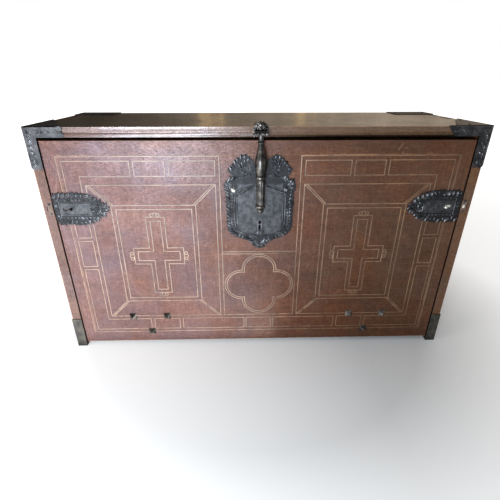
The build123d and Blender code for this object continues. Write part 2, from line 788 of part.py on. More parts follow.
with BuildPart() as stringing:
    with BuildSketch(facing_front(front_y)):
        for hand, _ in hands:
            string_path(
                (hand * column_half_width, field_bottom),
                (hand * column_half_width, pattern_top),
                (hand * outer_x, pattern_top),
                (hand * outer_x, pattern_bottom),
                (0, pattern_bottom),
            )
            string_box((hand * field_left, hand * (block_left - block_gap)), (band_top, inner_top))
            string_box((hand * block_left, hand * block_right), (band_top, inner_top))
            string_path(
                (hand * (block_right + block_gap), inner_top),
                (hand * inner_x, inner_top),
                (hand * inner_x, side_block_top + block_gap),
                (hand * band_x, side_block_top + block_gap),
                (hand * band_x, band_top),
                (hand * (block_right + block_gap), band_top),
                closed=True,
            )
            string_box((hand * band_x, hand * inner_x), (side_block_bottom, side_block_top))
            string_path(
                (hand * inner_x, side_block_bottom - block_gap),
                (hand * inner_x, low_string),
                (hand * (block_right + block_gap), low_string),
                (hand * (block_right + block_gap), low_band),
                (hand * band_x, low_band),
                (hand * band_x, side_block_bottom - block_gap),
                closed=True,
            )
            string_box((hand * block_left, hand * block_right), (low_string, low_band))
            string_box(
                (hand * (block_half_width + middle_block_gap), hand * (block_left - block_gap)),
                (low_string, low_band),
            )
            string_box((hand * field_left, hand * field_right), (field_bottom, field_top))
            far, near = field_inset, field_inset + field_pair
            for inset in (far, near):
                string_box(
                    (hand * (field_left + inset), hand * (field_right - inset)),
                    (field_bottom + inset, field_top - inset),
                )
            for x, aside in ((field_left, 1), (field_right, -1)):
                for z, up in ((field_bottom, 1), (field_top, -1)):
                    for shift in (0, mitre_line_gap):
                        string_path(
                            (hand * (x + aside * shift), z),
                            (hand * (x + aside * (field_inset + shift)), z + up * field_inset),
                        )
            cross_x = hand * field_middle
            string_cross(cross_x, 0)
            string_cross(cross_x, cross_line_gap)
            arm = finial_radius * 1.4
            for x, z, aside, up in (
                (cross_x, cross_centre_height + cross_head + finial_radius, 1, 0),
                (cross_x, cross_centre_height - cross_foot - finial_radius, 1, 0),
                (cross_x + cross_half_span + finial_radius, cross_centre_height, 0, 1),
                (cross_x - cross_half_span - finial_radius, cross_centre_height, 0, 1),
            ):
                string_ring(x, z, finial_radius)
                string_ring(x + aside * arm, z + up * arm, finial_radius * 0.7)
                string_ring(x - aside * arm, z - up * arm, finial_radius * 0.7)
        for z in (column_tie_height, column_tie_height + column_tie_gap):
            string_path((-column_half_width, z), (column_half_width, z))
        string_path((-column_half_width, field_bottom), (column_half_width, field_bottom))
        string_box((-block_half_width, block_half_width), (low_string, low_band))
        string_lobes(0, quatrefoil_height, lobe_radius)
        string_lobes(0, quatrefoil_height, lobe_radius - lobe_line_gap)
        with Locations(*hinge_nail_points):
            Rectangle(pyramid_width, pyramid_width, mode=Mode.SUBTRACT)
    extrude(amount=string_rise)
    with BuildSketch(facing_front(front_y)):
        for hand, _ in hands:
            latch_outline(hand)
    extrude(amount=string_rise, mode=Mode.SUBTRACT)
stringing.part.label = "front_stringing"
export_step(stringing.part, "parts/front_stringing.step")

# ---------------------------------------------------------------- hinges of the fall front
knuckle_pitch = hinge_width / knuckle_count
floor_leaf_start = pivot_y + knuckle_radius + 1
front_leaf_start = pivot_z + knuckle_radius + 1
for hand, side in hands:
    hinge_left = hand * hinge_spread - hinge_width / 2
    hinge_right = hinge_left + hinge_width
    knuckle_starts = [hinge_left + knuckle_pitch * n + knuckle_gap / 2 for n in range(knuckle_count)]
    knuckles = [(start, start + knuckle_pitch - knuckle_gap) for start in knuckle_starts]
    pin_axis = Plane(origin=(hand * hinge_spread, pivot_y, pivot_z), z_dir=(1, 0, 0))

    with BuildPart() as floor_leaf:
        leaf_z = (floor_top, floor_top + hinge_leaf_thickness)
        slab((hinge_left, hinge_right), (floor_leaf_start, gallery_y - knuckle_gap), leaf_z)
        for x_low, x_high in knuckles[1::2]:
            slab((x_low, x_high), (pivot_y, floor_leaf_start), leaf_z)
            with Locations(Plane(origin=((x_low + x_high) / 2, pivot_y, pivot_z), z_dir=(1, 0, 0))):
                Cylinder(knuckle_radius, x_high - x_low)
        with Locations(pin_axis):
            Cylinder(hinge_pin_radius + pin_clearance, hinge_width + 2, mode=Mode.SUBTRACT)
        drill(case_nails)
    floor_leaf.part.label = f"{side}_hinge_floor_leaf"
    export_step(floor_leaf.part, f"parts/{side}_hinge_floor_leaf.step")

    with BuildPart() as front_leaf:
        leaf_y = (front_inner_y, front_inner_y + hinge_leaf_thickness)
        leaf_end = front_leaf_start + hinge_leaf_height
        slab((hinge_left, hinge_right), leaf_y, (front_leaf_start, leaf_end))
        for x_low, x_high in knuckles[0::2]:
            slab((x_low, x_high), leaf_y, (pivot_z, front_leaf_start))
            with Locations(Plane(origin=((x_low + x_high) / 2, pivot_y, pivot_z), z_dir=(1, 0, 0))):
                Cylinder(knuckle_radius, x_high - x_low)
        with Locations(pin_axis):
            Cylinder(hinge_pin_radius + pin_clearance, hinge_width + 2, mode=Mode.SUBTRACT)
        drill(hinge_nails, thick_shank_radius + nail_clearance, front_thickness + hinge_leaf_thickness)
    front_leaf.part.label = f"{side}_hinge_front_leaf"
    export_step(front_leaf.part, f"parts/{side}_hinge_front_leaf.step")

with BuildPart() as hinge_pins:
    for hand, _ in hands:
        with Locations(Plane(origin=(hand * hinge_spread, pivot_y, pivot_z), z_dir=(1, 0, 0))):
            Cylinder(hinge_pin_radius, hinge_width)
hinge_pins.part.label = "hinge_pins"
export_step(hinge_pins.part, "parts/hinge_pins.step")

with BuildPart() as pyramid_nails:
    for x, z in hinge_nail_points:
        with BuildSketch(facing_front(front_y)):
            with Locations((x, z)):
                Rectangle(pyramid_width, pyramid_width)
        with BuildSketch(facing_front(front_y - pyramid_height)):
            with Locations((x, z)):
                Rectangle(pyramid_tip, pyramid_tip)
        loft()
    through = front_thickness + hinge_leaf_thickness
    with Locations(*hinge_nails):
        Cylinder(thick_shank_radius, through, align=(Align.CENTER, Align.CENTER, Align.MAX))
pyramid_nails.part.label = "hinge_nails"
export_step(pyramid_nails.part, "parts/hinge_nails.step")

# ---------------------------------------------------------------- lock
with BuildPart() as lock_plate:
    with BuildSketch(facing_front(front_y)):
        body_middle = (plate_bottom + plate_top) / 2
        body_tall = plate_top - plate_bottom
        with Locations((0, body_middle)):
            Rectangle(2 * plate_half_width, body_tall)
        step = body_tall / plate_scallops
        with Locations(
            *[
                (hand * plate_half_width, plate_bottom + step * (n + 0.5))
                for hand, _ in hands
                for n in range(plate_scallops)
            ]
        ):
            Circle(plate_scallop_radius)
        for hand, _ in hands:
            with Locations((hand * plate_crest_spread, staple_height + plate_crest_rise)):
                Circle(plate_crest_radius)
            with Locations((hand * plate_shoulder_spread, staple_height + plate_shoulder_rise)):
                Circle(plate_shoulder_radius)
            with Locations((hand * (plate_half_width - plate_foot_radius - 4), plate_bottom)):
                Circle(plate_foot_radius)
            with Locations((hand * (plate_foot_radius + 4), plate_bottom - plate_drop * 0.37)):
                Circle(plate_foot_radius)
        with Locations((0, plate_bottom - plate_drop * 0.3)):
            Rectangle(2 * plate_foot_radius, plate_drop * 0.6)
        with Locations((0, plate_bottom - plate_drop * 0.67)):
            Circle(plate_drop * 0.33)
        with Locations((0, staple_height + plate_neck_rise / 2)):
            Rectangle(2 * plate_shoulder_spread, plate_neck_rise)
    extrude(amount=iron_thickness)
    slab((-slot_half, slot_half), (front_y - iron_thickness, front_y), plate_slot, Mode.SUBTRACT)
    cut_keyhole((front_y - iron_thickness, front_y))
    drill(front_nails + studs)
lock_plate.part.label = "lock_plate"
export_step(lock_plate.part, "parts/lock_plate.step")

bolt_y = (bolt_middle_y - bolt_thickness / 2, bolt_middle_y + bolt_thickness / 2)
bolt_z = (staple_height - bolt_height / 2, staple_height + bolt_height / 2)
bolt_rest_end = -(staple_thickness / 2 + 2)
with BuildPart() as lock_case:
    half = lock_case_width / 2
    wall = lock_case_wall
    slab((-half, half), (lock_front_y, lock_back_y), (lock_case_bottom, lock_case_top))
    slab(
        (-half + wall, half - wall),
        (lock_front_y + wall, lock_back_y - wall),
        (lock_case_bottom + wall, lock_case_top - wall),
        Mode.SUBTRACT,
    )
    for z, up in ((bolt_z[1] + bolt_fit, 1), (bolt_z[0] - bolt_fit, -1)):
        slab(
            (-half + wall, -slot_half - slot_clearance),
            (bolt_y[0], lock_back_y - wall),
            (z, z + up * bolt_guide_height),
        )
        slab(
            (slot_half + slot_clearance, half - wall),
            (bolt_y[0], lock_back_y - wall),
            (z, z + up * bolt_guide_height),
        )
    slab((-slot_half, slot_half), (lock_front_y, lock_front_y + wall), plate_slot, Mode.SUBTRACT)
    cut_keyhole((lock_front_y, lock_front_y + wall))
lock_case.part.label = "lock_case"
export_step(lock_case.part, "parts/lock_case.step")

with BuildPart() as lock_bolt:
    slab((bolt_rest_end - bolt_length, bolt_rest_end), bolt_y, bolt_z)
lock_bolt.part.label = "lock_bolt"
export_step(lock_bolt.part, "parts/lock_bolt.step")

# ---------------------------------------------------------------- hasp
head_half = hasp_head_width / 2
with BuildPart() as hasp:
    with BuildSketch(facing_front(hasp_y)):
        ring_low, ring_high = hasp_ring_height - hasp_ring_width / 2, hasp_ring_height + hasp_ring_width / 2
        foot_low = hasp_low_ring_height - hasp_ring_width / 2
        foot_high = hasp_low_ring_height + hasp_ring_width / 2
        with BuildLine():
            Line((0, hasp_axis_height), (hasp_neck_radius, hasp_axis_height))
            Line((hasp_neck_radius, hasp_axis_height), (hasp_neck_radius, hasp_neck_end))
            Spline(
                (hasp_neck_radius, hasp_neck_end),
                (hasp_bulb_radius, hasp_bulb_height),
                (hasp_waist_radius, hasp_waist_height),
                tangents=((0, -1), (0, -1), (0, -1)),
            )
            Polyline(
                (hasp_waist_radius, hasp_waist_height),
                (hasp_waist_radius, ring_high),
                (hasp_ring_radius, ring_high),
                (hasp_ring_radius, ring_low),
                (hasp_shank_radius, ring_low),
                (hasp_shank_radius, foot_high),
                (hasp_ring_radius, foot_high),
                (hasp_ring_radius, foot_low),
                (hasp_ball_radius * 0.6, foot_low),
                (hasp_ball_radius * 0.6, hasp_ball_height),
                (0, hasp_ball_height),
                (0, hasp_axis_height),
            )
        make_face()
    revolve(axis=Axis((0, hasp_y, 0), (0, 0, 1)))
    with Locations((0, hasp_y, hasp_ball_height)):
        Sphere(hasp_ball_radius)
    with Locations(Plane(origin=(0, hasp_y, hasp_axis_height), z_dir=(1, 0, 0))):
        Cylinder(hasp_head_radius, hasp_head_width)
        Cylinder(hasp_pin_radius + pin_clearance, hasp_head_width, mode=Mode.SUBTRACT)
    root_y = hasp_y + hasp_shank_radius - staple_root
    staple_z = (staple_low, staple_high)
    staple_x = (-staple_thickness / 2, staple_thickness / 2)
    slab(staple_x, (root_y, hasp_y + hasp_shank_radius + 1), staple_z, Mode.SUBTRACT)
hasp.part.label = "hasp"
export_step(hasp.part, "parts/hasp.step")

with BuildPart() as hasp_staple:
    slab(staple_x, (root_y, front_y + staple_reach), staple_z)
    slab(
        staple_x,
        (bolt_y[0] - bolt_fit, bolt_y[1] + bolt_fit),
        (bolt_z[0] - bolt_fit, bolt_z[1] + bolt_fit),
        Mode.SUBTRACT,
    )
hasp_staple.part.label = "hasp_staple"
export_step(hasp_staple.part, "parts/hasp_staple.step")

with BuildPart() as hasp_bracket:
    slab((-bracket_width / 2, bracket_width / 2), (front_y - iron_thickness, front_y), (ceiling, top_edge))
    slab((-bracket_width / 2, bracket_width / 2), (front_y, front_y + bracket_tail), (case_height, top_edge))
    with BuildSketch(facing_front(front_y - iron_thickness)):
        with Locations((0, rosette_height)):
            Circle(rosette_radius)
        with Locations((rosette_eye_spread, rosette_height), (-rosette_eye_spread, rosette_height)):
            Circle(rosette_eye_radius, mode=Mode.SUBTRACT)
    extrude(amount=rosette_thickness)
    ear_start = head_half + pin_clearance * 5
    for hand, _ in hands:
        ear_x = (hand * ear_start, hand * (ear_start + bracket_ear_width))
        ear_y = (hasp_y, front_y - iron_thickness)
        slab(ear_x, ear_y, (hasp_axis_height - hasp_head_radius, hasp_axis_height + hasp_head_radius))
        with Locations(Plane(origin=(sum(ear_x) / 2, hasp_y, hasp_axis_height), z_dir=(1, 0, 0))):
            Cylinder(hasp_head_radius, bracket_ear_width)
            Cylinder(hasp_pin_radius + pin_clearance, bracket_ear_width, mode=Mode.SUBTRACT)
    drill(case_nails)
hasp_bracket.part.label = "hasp_bracket"
export_step(hasp_bracket.part, "parts/hasp_bracket.step")

with BuildPart() as hasp_pin:
    pin_half = ear_start + bracket_ear_width
    with Locations(Plane(origin=(0, hasp_y, hasp_axis_height), z_dir=(1, 0, 0))):
        Cylinder(hasp_pin_radius, 2 * pin_half)
        for end, lie in ((-pin_half, Align.MAX), (pin_half, Align.MIN)):
            with Locations((0, 0, end)):
                Cylinder(hasp_pin_radius * 1.5, iron_thickness, align=(Align.CENTER, Align.CENTER, lie))
hasp_pin.part.label = "hasp_pin"
export_step(hasp_pin.part, "parts/hasp_pin.step")

# ---------------------------------------------------------------- slide latches
knob_x = front_half - latch_knob_inset
for hand, side in hands:
    with BuildPart() as latch_plate:
        with BuildSketch(facing_front(front_y)):
            latch_outline(hand)
        extrude(amount=iron_thickness)
        slot_reach = latch_stem_radius + latch_fit
        slab(
            (hand * (knob_x - slot_reach), hand * (knob_x + latch_travel + slot_reach)),
            (front_y - iron_thickness, front_y),
            (latch_height - slot_reach, latch_height + slot_reach),
            Mode.SUBTRACT,
        )
        drill(front_nails)
    latch_plate.part.label = f"{side}_latch_plate"
    export_step(latch_plate.part, f"parts/{side}_latch_plate.step")

    with BuildPart() as latch_bolt:
        bolt_start = front_half - latch_end_gap
        latch_y = front_y + latch_bolt_back
        slab(
            (hand * (bolt_start - latch_bolt_length), hand * bolt_start),
            (latch_y, latch_y + latch_bolt_thickness),
            (latch_height - latch_bolt_height / 2, latch_height + latch_bolt_height / 2),
        )
        with Locations(Plane(origin=(hand * knob_x, latch_y, latch_height), z_dir=(0, -1, 0))):
            stem = latch_bolt_back + latch_knob_reach - latch_knob_radius
            Cylinder(latch_stem_radius, stem, align=(Align.CENTER, Align.CENTER, Align.MIN))
            with Locations((0, 0, stem)):
                Sphere(latch_knob_radius)
    latch_bolt.part.label = f"{side}_latch_bolt"
    export_step(latch_bolt.part, f"parts/{side}_latch_bolt.step")

with BuildPart() as latch_keepers:
    for hand, _ in hands:
        slab(
            (hand * (inner_half + 1), hand * (inner_half + 1 + keeper_width)),
            (front_y - iron_thickness, front_y),
            (latch_height - keeper_height / 2, latch_height + keeper_height / 2),
        )
    drill(case_nails)
latch_keepers.part.label = "latch_keepers"
export_step(latch_keepers.part, "parts/latch_keepers.step")

# ---------------------------------------------------------------- corner irons
for hand, side in hands:
    with BuildPart() as corner_iron:
        with BuildSketch(facing_front(front_y)):
            corner_sketch(hand, corner_rail_arm, top_thickness + iron_thickness, top_edge, 1)
        extrude(amount=iron_thickness)
        with BuildSketch(Plane.XY.offset(case_height)):
            near, far = hand * case_edge, hand * (case_half - corner_top_width)
            with BuildLine():
                Polyline(
                    (near, front_y - iron_thickness),
                    (near, front_y + corner_top_depth),
                    ((near + far) / 2, front_y + corner_top_depth * 0.6),
                    (far, front_y),
                    (far, front_y - iron_thickness),
                    close=True,
                )
            make_face()
        extrude(amount=iron_thickness)
        slab(
            (hand * case_half, hand * case_edge),
            (front_y - iron_thickness, front_y + corner_cheek),
            (case_height - corner_side_arm, top_edge),
        )
        drill(case_nails)
    corner_iron.part.label = f"top_{side}_corner_iron"
    export_step(corner_iron.part, f"parts/top_{side}_corner_iron.step")

    with BuildPart() as foot_iron:
        slab(
            (hand * inner_half, hand * case_edge),
            (front_y - iron_thickness, front_y),
            (0, corner_foot_height),
        )
        slab(
            (hand * case_half, hand * case_edge),
            (front_y, front_y + corner_cheek),
            (0, corner_foot_height),
        )
        drill(case_nails)
    foot_iron.part.label = f"bottom_{side}_corner_iron"
    export_step(foot_iron.part, f"parts/bottom_{side}_corner_iron.step")

with BuildPart() as back_irons:
    for hand, _ in hands:
        slab(
            (hand * (case_half - back_iron_length), hand * case_edge),
            (back_y - back_iron_depth, back_y),
            (case_height, top_edge),
        )
        slab(
            (hand * case_half, hand * case_edge),
            (back_y - back_iron_depth, back_y),
            (case_height - back_iron_drop, case_height),
        )
    drill(case_nails)
back_irons.part.label = "back_corner_irons"
export_step(back_irons.part, "parts/back_corner_irons.step")

# ---------------------------------------------------------------- side handles
axis_x = case_edge + handle_axis_out
handle_y = (front_y + back_y) / 2
arm_y = handle_span / 2 - handle_rod_radius
ear_inner = arm_y + handle_turn_radius + handle_ear_gap
stub_end = ear_inner + handle_ear_thickness + handle_stub
for hand, side in hands:
    with BuildPart() as handle_plate:
        with BuildSketch(Plane.YZ.offset(hand * case_half)):
            with Locations((handle_y, handle_height)):
                RectangleRounded(handle_plate_length, handle_plate_height, handle_plate_height * 0.3)
        extrude(amount=hand * iron_thickness)
        for end in (-1, 1):
            ear_y = (handle_y + end * ear_inner, handle_y + end * (ear_inner + handle_ear_thickness))
            slab(
                (hand * case_edge, hand * axis_x),
                ear_y,
                (handle_height - handle_ear_radius, handle_height + handle_ear_radius),
            )
            with Locations(Plane(origin=(hand * axis_x, sum(ear_y) / 2, handle_height), z_dir=(0, 1, 0))):
                Cylinder(handle_ear_radius, handle_ear_thickness)
                hole = handle_rod_radius + handle_pin_clearance
                Cylinder(hole, handle_ear_thickness, mode=Mode.SUBTRACT)
        drill(case_nails)
    handle_plate.part.label = f"{side}_handle_plate"
    export_step(handle_plate.part, f"parts/{side}_handle_plate.step")

    with BuildPart() as handle:
        with BuildLine(Plane.YZ.offset(hand * axis_x)) as bail_line:
            FilletPolyline(
                (handle_y - stub_end, handle_height),
                (handle_y - arm_y, handle_height),
                (handle_y - arm_y, handle_height - handle_drop),
                (handle_y + arm_y, handle_height - handle_drop),
                (handle_y + arm_y, handle_height),
                (handle_y + stub_end, handle_height),
                radius=[handle_turn_radius, handle_bend_radius, handle_bend_radius, handle_turn_radius],
            )
        with BuildSketch(Plane(origin=bail_line.line @ 0, z_dir=bail_line.line % 0)):
            Circle(handle_rod_radius)
        sweep()
    handle.part.label = f"{side}_handle"
    export_step(handle.part, f"parts/{side}_handle.step")

# ---------------------------------------------------------------- small nails
with BuildPart() as case_nail_set:
    round_nails(case_nails)
case_nail_set.part.label = "case_nails"
export_step(case_nail_set.part, "parts/case_nails.step")

with BuildPart() as front_nail_set:
    round_nails(front_nails)
    with Locations(*studs):
        Cylinder(nail_radius, nail_length, align=(Align.CENTER, Align.CENTER, Align.MAX))
        Cone(stud_radius, stud_radius / 2, stud_height, align=(Align.CENTER, Align.CENTER, Align.MIN))
front_nail_set.part.label = "front_nails"
export_step(front_nail_set.part, "parts/front_nails.step")
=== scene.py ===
import json
import math

import bmesh
import bpy
from mathutils import Matrix, Vector

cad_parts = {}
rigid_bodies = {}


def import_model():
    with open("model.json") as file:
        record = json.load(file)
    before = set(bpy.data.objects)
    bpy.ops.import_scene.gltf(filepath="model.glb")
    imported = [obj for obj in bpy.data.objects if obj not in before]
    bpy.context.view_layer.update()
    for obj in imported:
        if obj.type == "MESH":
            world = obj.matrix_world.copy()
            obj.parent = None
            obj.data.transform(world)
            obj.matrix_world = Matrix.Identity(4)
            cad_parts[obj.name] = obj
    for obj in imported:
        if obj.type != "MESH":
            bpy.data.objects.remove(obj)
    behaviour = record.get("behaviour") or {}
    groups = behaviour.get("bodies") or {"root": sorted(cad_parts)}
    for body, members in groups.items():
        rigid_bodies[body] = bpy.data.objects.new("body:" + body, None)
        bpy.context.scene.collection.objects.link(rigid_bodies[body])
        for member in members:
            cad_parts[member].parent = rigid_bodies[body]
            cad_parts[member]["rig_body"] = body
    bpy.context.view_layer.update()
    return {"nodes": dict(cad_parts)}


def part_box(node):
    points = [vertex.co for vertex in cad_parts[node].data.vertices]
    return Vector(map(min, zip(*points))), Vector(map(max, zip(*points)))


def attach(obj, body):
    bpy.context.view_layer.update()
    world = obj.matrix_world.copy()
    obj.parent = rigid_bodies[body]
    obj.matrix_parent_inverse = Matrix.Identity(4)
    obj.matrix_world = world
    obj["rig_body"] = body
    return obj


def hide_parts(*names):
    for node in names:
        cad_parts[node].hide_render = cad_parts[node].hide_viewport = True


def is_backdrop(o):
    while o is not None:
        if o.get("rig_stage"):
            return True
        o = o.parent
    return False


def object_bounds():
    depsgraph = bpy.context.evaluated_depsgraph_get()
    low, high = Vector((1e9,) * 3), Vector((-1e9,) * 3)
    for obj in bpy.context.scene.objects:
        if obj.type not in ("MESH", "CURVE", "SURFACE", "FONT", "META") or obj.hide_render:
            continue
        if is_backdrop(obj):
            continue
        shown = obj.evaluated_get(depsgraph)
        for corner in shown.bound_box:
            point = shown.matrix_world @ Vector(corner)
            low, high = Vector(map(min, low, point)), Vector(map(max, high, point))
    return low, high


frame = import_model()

nodes = frame["nodes"]
scene = bpy.context.scene
MM = 0.001
QUARTER_TURN, WHOLE_TURN = math.pi / 2, 2 * math.pi

# ---- sizes, in millimetres
FRONT_Y = -159.25  # face of the case and of the shut front
SHEET = 2.0  # thickness of the flat irons
IRON_FACE = FRONT_Y - SHEET
SIDE_X = 523.0  # outer face of a side board
RAIL_Z, TOP_Z = 586.0, 608.0  # under and upper face of the top board
LATCH_Z = 419.0  # middle of the latch plates
LOCK_FOOT, KEYHOLE_Z = 311.0, 382.0  # lowest point of the lock plate, middle of its keyhole
HASP_Y, HASP_Z = -176.75, 595.0  # the hasp's pin
ROSETTE_Z = 603.0
ROSETTE_THICK = 4.0


# ---- node tools
class Out:
    """A node's output; reckoning with it puts Math nodes into its tree."""

    def __init__(self, node, which=0):
        self.node, self.which, self.tree = node, which, node.id_data

    def math(self, operation, first, second=0.0):
        return put(self.tree, "ShaderNodeMath", {0: first, 1: second}, operation=operation)

    def __rsub__(self, other):
        return self.math("SUBTRACT", other, self)

    def between(self, low, high, out_low=0.0, out_high=1.0):
        """Out_low where this is low, out_high where it is high, and level beyond the two."""
        inputs = {0: self, 1: low, 2: high, 3: out_low, 4: out_high}
        return put(self.tree, "ShaderNodeMapRange", inputs)


for word, operation in {
    "__add__": "ADD", "__sub__": "SUBTRACT", "__mul__": "MULTIPLY", "__truediv__": "DIVIDE",
    "__abs__": "ABSOLUTE", "least": "MINIMUM", "most": "MAXIMUM",
}.items():
    setattr(Out, word, lambda self, other=0.0, how=operation: self.math(how, self, other))


def fill(node, inputs):
    """Gives each input a value or another node's output."""
    for key, value in inputs.items():
        if isinstance(value, Out):
            node.id_data.links.new(value.node.outputs[value.which], node.inputs[key])
        else:
            node.inputs[key].default_value = value


def put(tree, kind, inputs=None, which=0, **settings):
    """A new node with its settings and inputs; returns one of its outputs."""
    made = tree.nodes.new(kind)
    for key, value in settings.items():
        setattr(made, key, value)
    fill(made, inputs or {})
    return Out(made, which)


def tint(factor, first, second, how="MIX"):
    """A mix of two colours; three numbers stand for an opaque one."""
    tree = next(value.tree for value in (factor, first, second) if isinstance(value, Out))
    first, second = [(*c, 1) if isinstance(c, tuple) else c for c in (first, second)]
    inputs = {0: factor, 6: first, 7: second}
    return put(tree, "ShaderNodeMix", inputs, 2, data_type="RGBA", blend_type=how)


def clouds(at, scale, detail=4.0, rough=0.55, bend=0.0):
    inputs = {"Vector": at, "Scale": scale, "Detail": detail, "Roughness": rough, "Distortion": bend}
    return put(at.tree, "ShaderNodeTexNoise", inputs)


def stretched(at, scale, turn=(0, 0, 0), shift=(0, 0, 0)):
    inputs = {"Vector": at, "Scale": scale, "Rotation": turn, "Location": shift}
    return put(at.tree, "ShaderNodeMapping", inputs)


def vectors(operation, first, second, which=1):
    tree = first.tree if isinstance(first, Out) else second.tree
    return put(tree, "ShaderNodeVectorMath", {0: first, which: second}, operation=operation)


def outs_of(tree, kind, inputs, **settings):
    """Every output of a new node."""
    made = put(tree, kind, inputs, **settings).node
    return [Out(made, n) for n in range(len(made.outputs))]


def xyz(at):
    return outs_of(at.tree, "ShaderNodeSeparateXYZ", {0: at})


def effect(group, inputs):
    """What a shared group puts out in this finish."""
    return outs_of(inputs["At"].tree, "ShaderNodeGroup", inputs, node_tree=group)


KINDS = {float: "NodeSocketFloat", int: "NodeSocketInt", tuple: "NodeSocketVector"}
FLOAT, VECTOR, SHAPE = "NodeSocketFloat", "NodeSocketVector", "NodeSocketGeometry"
STUFF, THING = "NodeSocketMaterial", "NodeSocketObject"


def new_tree(name, kind, ins, outs, out_kind=FLOAT):
    """A node group and its inputs, each of them named by its first value or its kind of socket."""
    tree = bpy.data.node_groups.new(name, kind)
    for label, value in ins.items():
        socket_kind = KINDS.get(type(value), value)
        socket = tree.interface.new_socket(name=label, in_out="INPUT", socket_type=socket_kind)
        if socket_kind is not value:
            socket.default_value = value
    for label in outs:
        tree.interface.new_socket(name=label, in_out="OUTPUT", socket_type=out_kind)
    given = tree.nodes.new("NodeGroupInput")
    return tree, {label: Out(given, label) for label in ins}


def close_tree(tree, **ends):
    """Leads what the nodes make to the group's named outputs."""
    fill(tree.nodes.new("NodeGroupOutput"), ends)
    return tree


# ---- effects shared by the finishes
def fine_grain(along):
    """Narrow streaks of the grain, and short flecks across them."""
    streaks = clouds(stretched(along, (15, 56, 56)), 6.0, 6, 0.70, 0.5)
    return streaks, clouds(stretched(along, (52, 9, 9)), 5.0, 5, 0.7, 0.6)


def make_wood_figure():
    """Streaks, growth rings, patches and pores of planed wood whose grain runs along X."""
    ends = ("Tone", "Patches", "Pores", "Height")
    tree, given = new_tree("wood_figure", "ShaderNodeTree", {"At": VECTOR, "Swirl": 0.6}, ends)
    along = given["At"]
    bands = clouds(stretched(along, (1.6, 11, 11)), 5.0, 6, 0.68, given["Swirl"])
    streaks, flecks = fine_grain(along)
    inputs = {"Vector": stretched(along, (0.55, 4.6, 4.6)), "Scale": 5.0, "Distortion": 9.0}
    inputs |= {"Detail": 3.0, "Detail Scale": 1.1, "Detail Roughness": 0.55}
    rings = put(tree, "ShaderNodeTexWave", inputs, 1, bands_direction="Y")
    pores = clouds(stretched(along, (60, 900, 900)), 2.2, 2, 0.5).between(0.60, 0.68)
    tone = bands * 0.10 + streaks * 0.50 + flecks * 0.34 + rings * 0.06
    patches = clouds(stretched(along, (6, 9, 9)), 1.6, 5, 0.65, 0.8)
    return close_tree(
        tree,
        Tone=tone.between(0.30, 0.74),
        Patches=patches.between(0.34, 0.66),
        Pores=pores,
        Height=streaks * 0.5 - pores * 0.6,
    )


def make_rubbed_edges():
    """1 along the twelve edges of a board that fills the box from Low to High, broken by wear."""
    ins = {"At": VECTOR, "Low": (0, 0, 0), "High": (1, 1, 1), "Width": 0.004}
    tree, given = new_tree("rubbed_edges", "ShaderNodeTree", ins, ("Mask",))
    at, width = given["At"], given["Width"]
    up = vectors("SUBTRACT", at, given["Low"])
    down = vectors("SUBTRACT", given["High"], at)
    x, y, z = xyz(vectors("MINIMUM", up, down))
    second_nearest = x.least(y).most(x.most(y).least(z))
    wear = clouds(at, 38.0, 5, 0.7) * 1.3 + clouds(at, 7.0, 2, 0.5) * 1.2
    reach = second_nearest + wear * width
    return close_tree(tree, Mask=(reach / width).between(1.0, 1.7, 1.0, 0.0))


def make_scratches():
    """A few fine light scratches that run across the grain."""
    ins = {"At": VECTOR, "Turn": (0, 0, 0), "Thickness": 0.006}
    tree, given = new_tree("scratches", "ShaderNodeTree", ins, ("Mask",))
    turned = put(tree, "ShaderNodeMapping", {"Vector": given["At"], "Rotation": given["Turn"]})
    off_line = abs(clouds(stretched(turned, (3.0, 26, 26)), 2.0, 1, 0.4) - 0.5)
    thin = (off_line / given["Thickness"]).between(0.4, 1.0, 1.0, 0.0)
    return close_tree(tree, Mask=thin * clouds(given["At"], 16.0, 3, 0.6).between(0.66, 0.72))


def make_forged_skin():
    """Hammer marks, pitting and brown rust of old wrought iron."""
    ends = ("Tone", "Rust", "Height")
    tree, given = new_tree("forged_skin", "ShaderNodeTree", {"At": VECTOR, "Size": 1.0}, ends)
    scaled = vectors("SCALE", given["At"], given["Size"], 3)
    inputs = {"Vector": scaled, "Scale": 90.0}
    blows = put(tree, "ShaderNodeTexVoronoi", inputs, feature="SMOOTH_F1")
    pits = clouds(scaled, 520.0, 5, 0.7)
    slow = clouds(scaled, 45.0, 4, 0.6)
    rust = slow.between(0.48, 0.66) * pits.between(0.42, 0.62)
    height = blows * 0.55 + pits * 0.45
    return close_tree(tree, Tone=slow.between(0.3, 0.7), Rust=rust, Height=height)


WOOD_FIGURE = make_wood_figure()
RUBBED_EDGES = make_rubbed_edges()
SCRATCHES = make_scratches()
FORGED_SKIN = make_forged_skin()


# ---- finishes
def new_finish(name):
    """A finish, its surface shader and the object's own coordinates."""
    finish = bpy.data.materials.new(name)
    finish.use_nodes = True
    tree = finish.node_tree
    return finish, tree.nodes["Principled BSDF"], put(tree, "ShaderNodeTexCoord", {}, "Object")


def bumped(height, strength, distance):
    inputs = {"Height": height, "Strength": strength, "Distance": distance}
    return put(height.tree, "ShaderNodeBump", inputs)


def joint_painted_shade(at, joints):
    """1 in the painted shade beside the joints round the front, stronger to the right along the level
    joints; each joint an axis, a place and a width.
    """
    x, y, z = xyz(at)
    total = None
    for axis, where, width in joints:
        line = abs((abs(x) if axis == "x" else z) - where).between(width, width * 0.5)
        if axis == "z":
            # Painted shade: along the level joints it darkens more towards the right.
            line = line * x.between(-0.15, 0.15, 0.25, 1.0)
        total = line if total is None else total.most(line)
    return total * y.between(-0.150, -0.156)


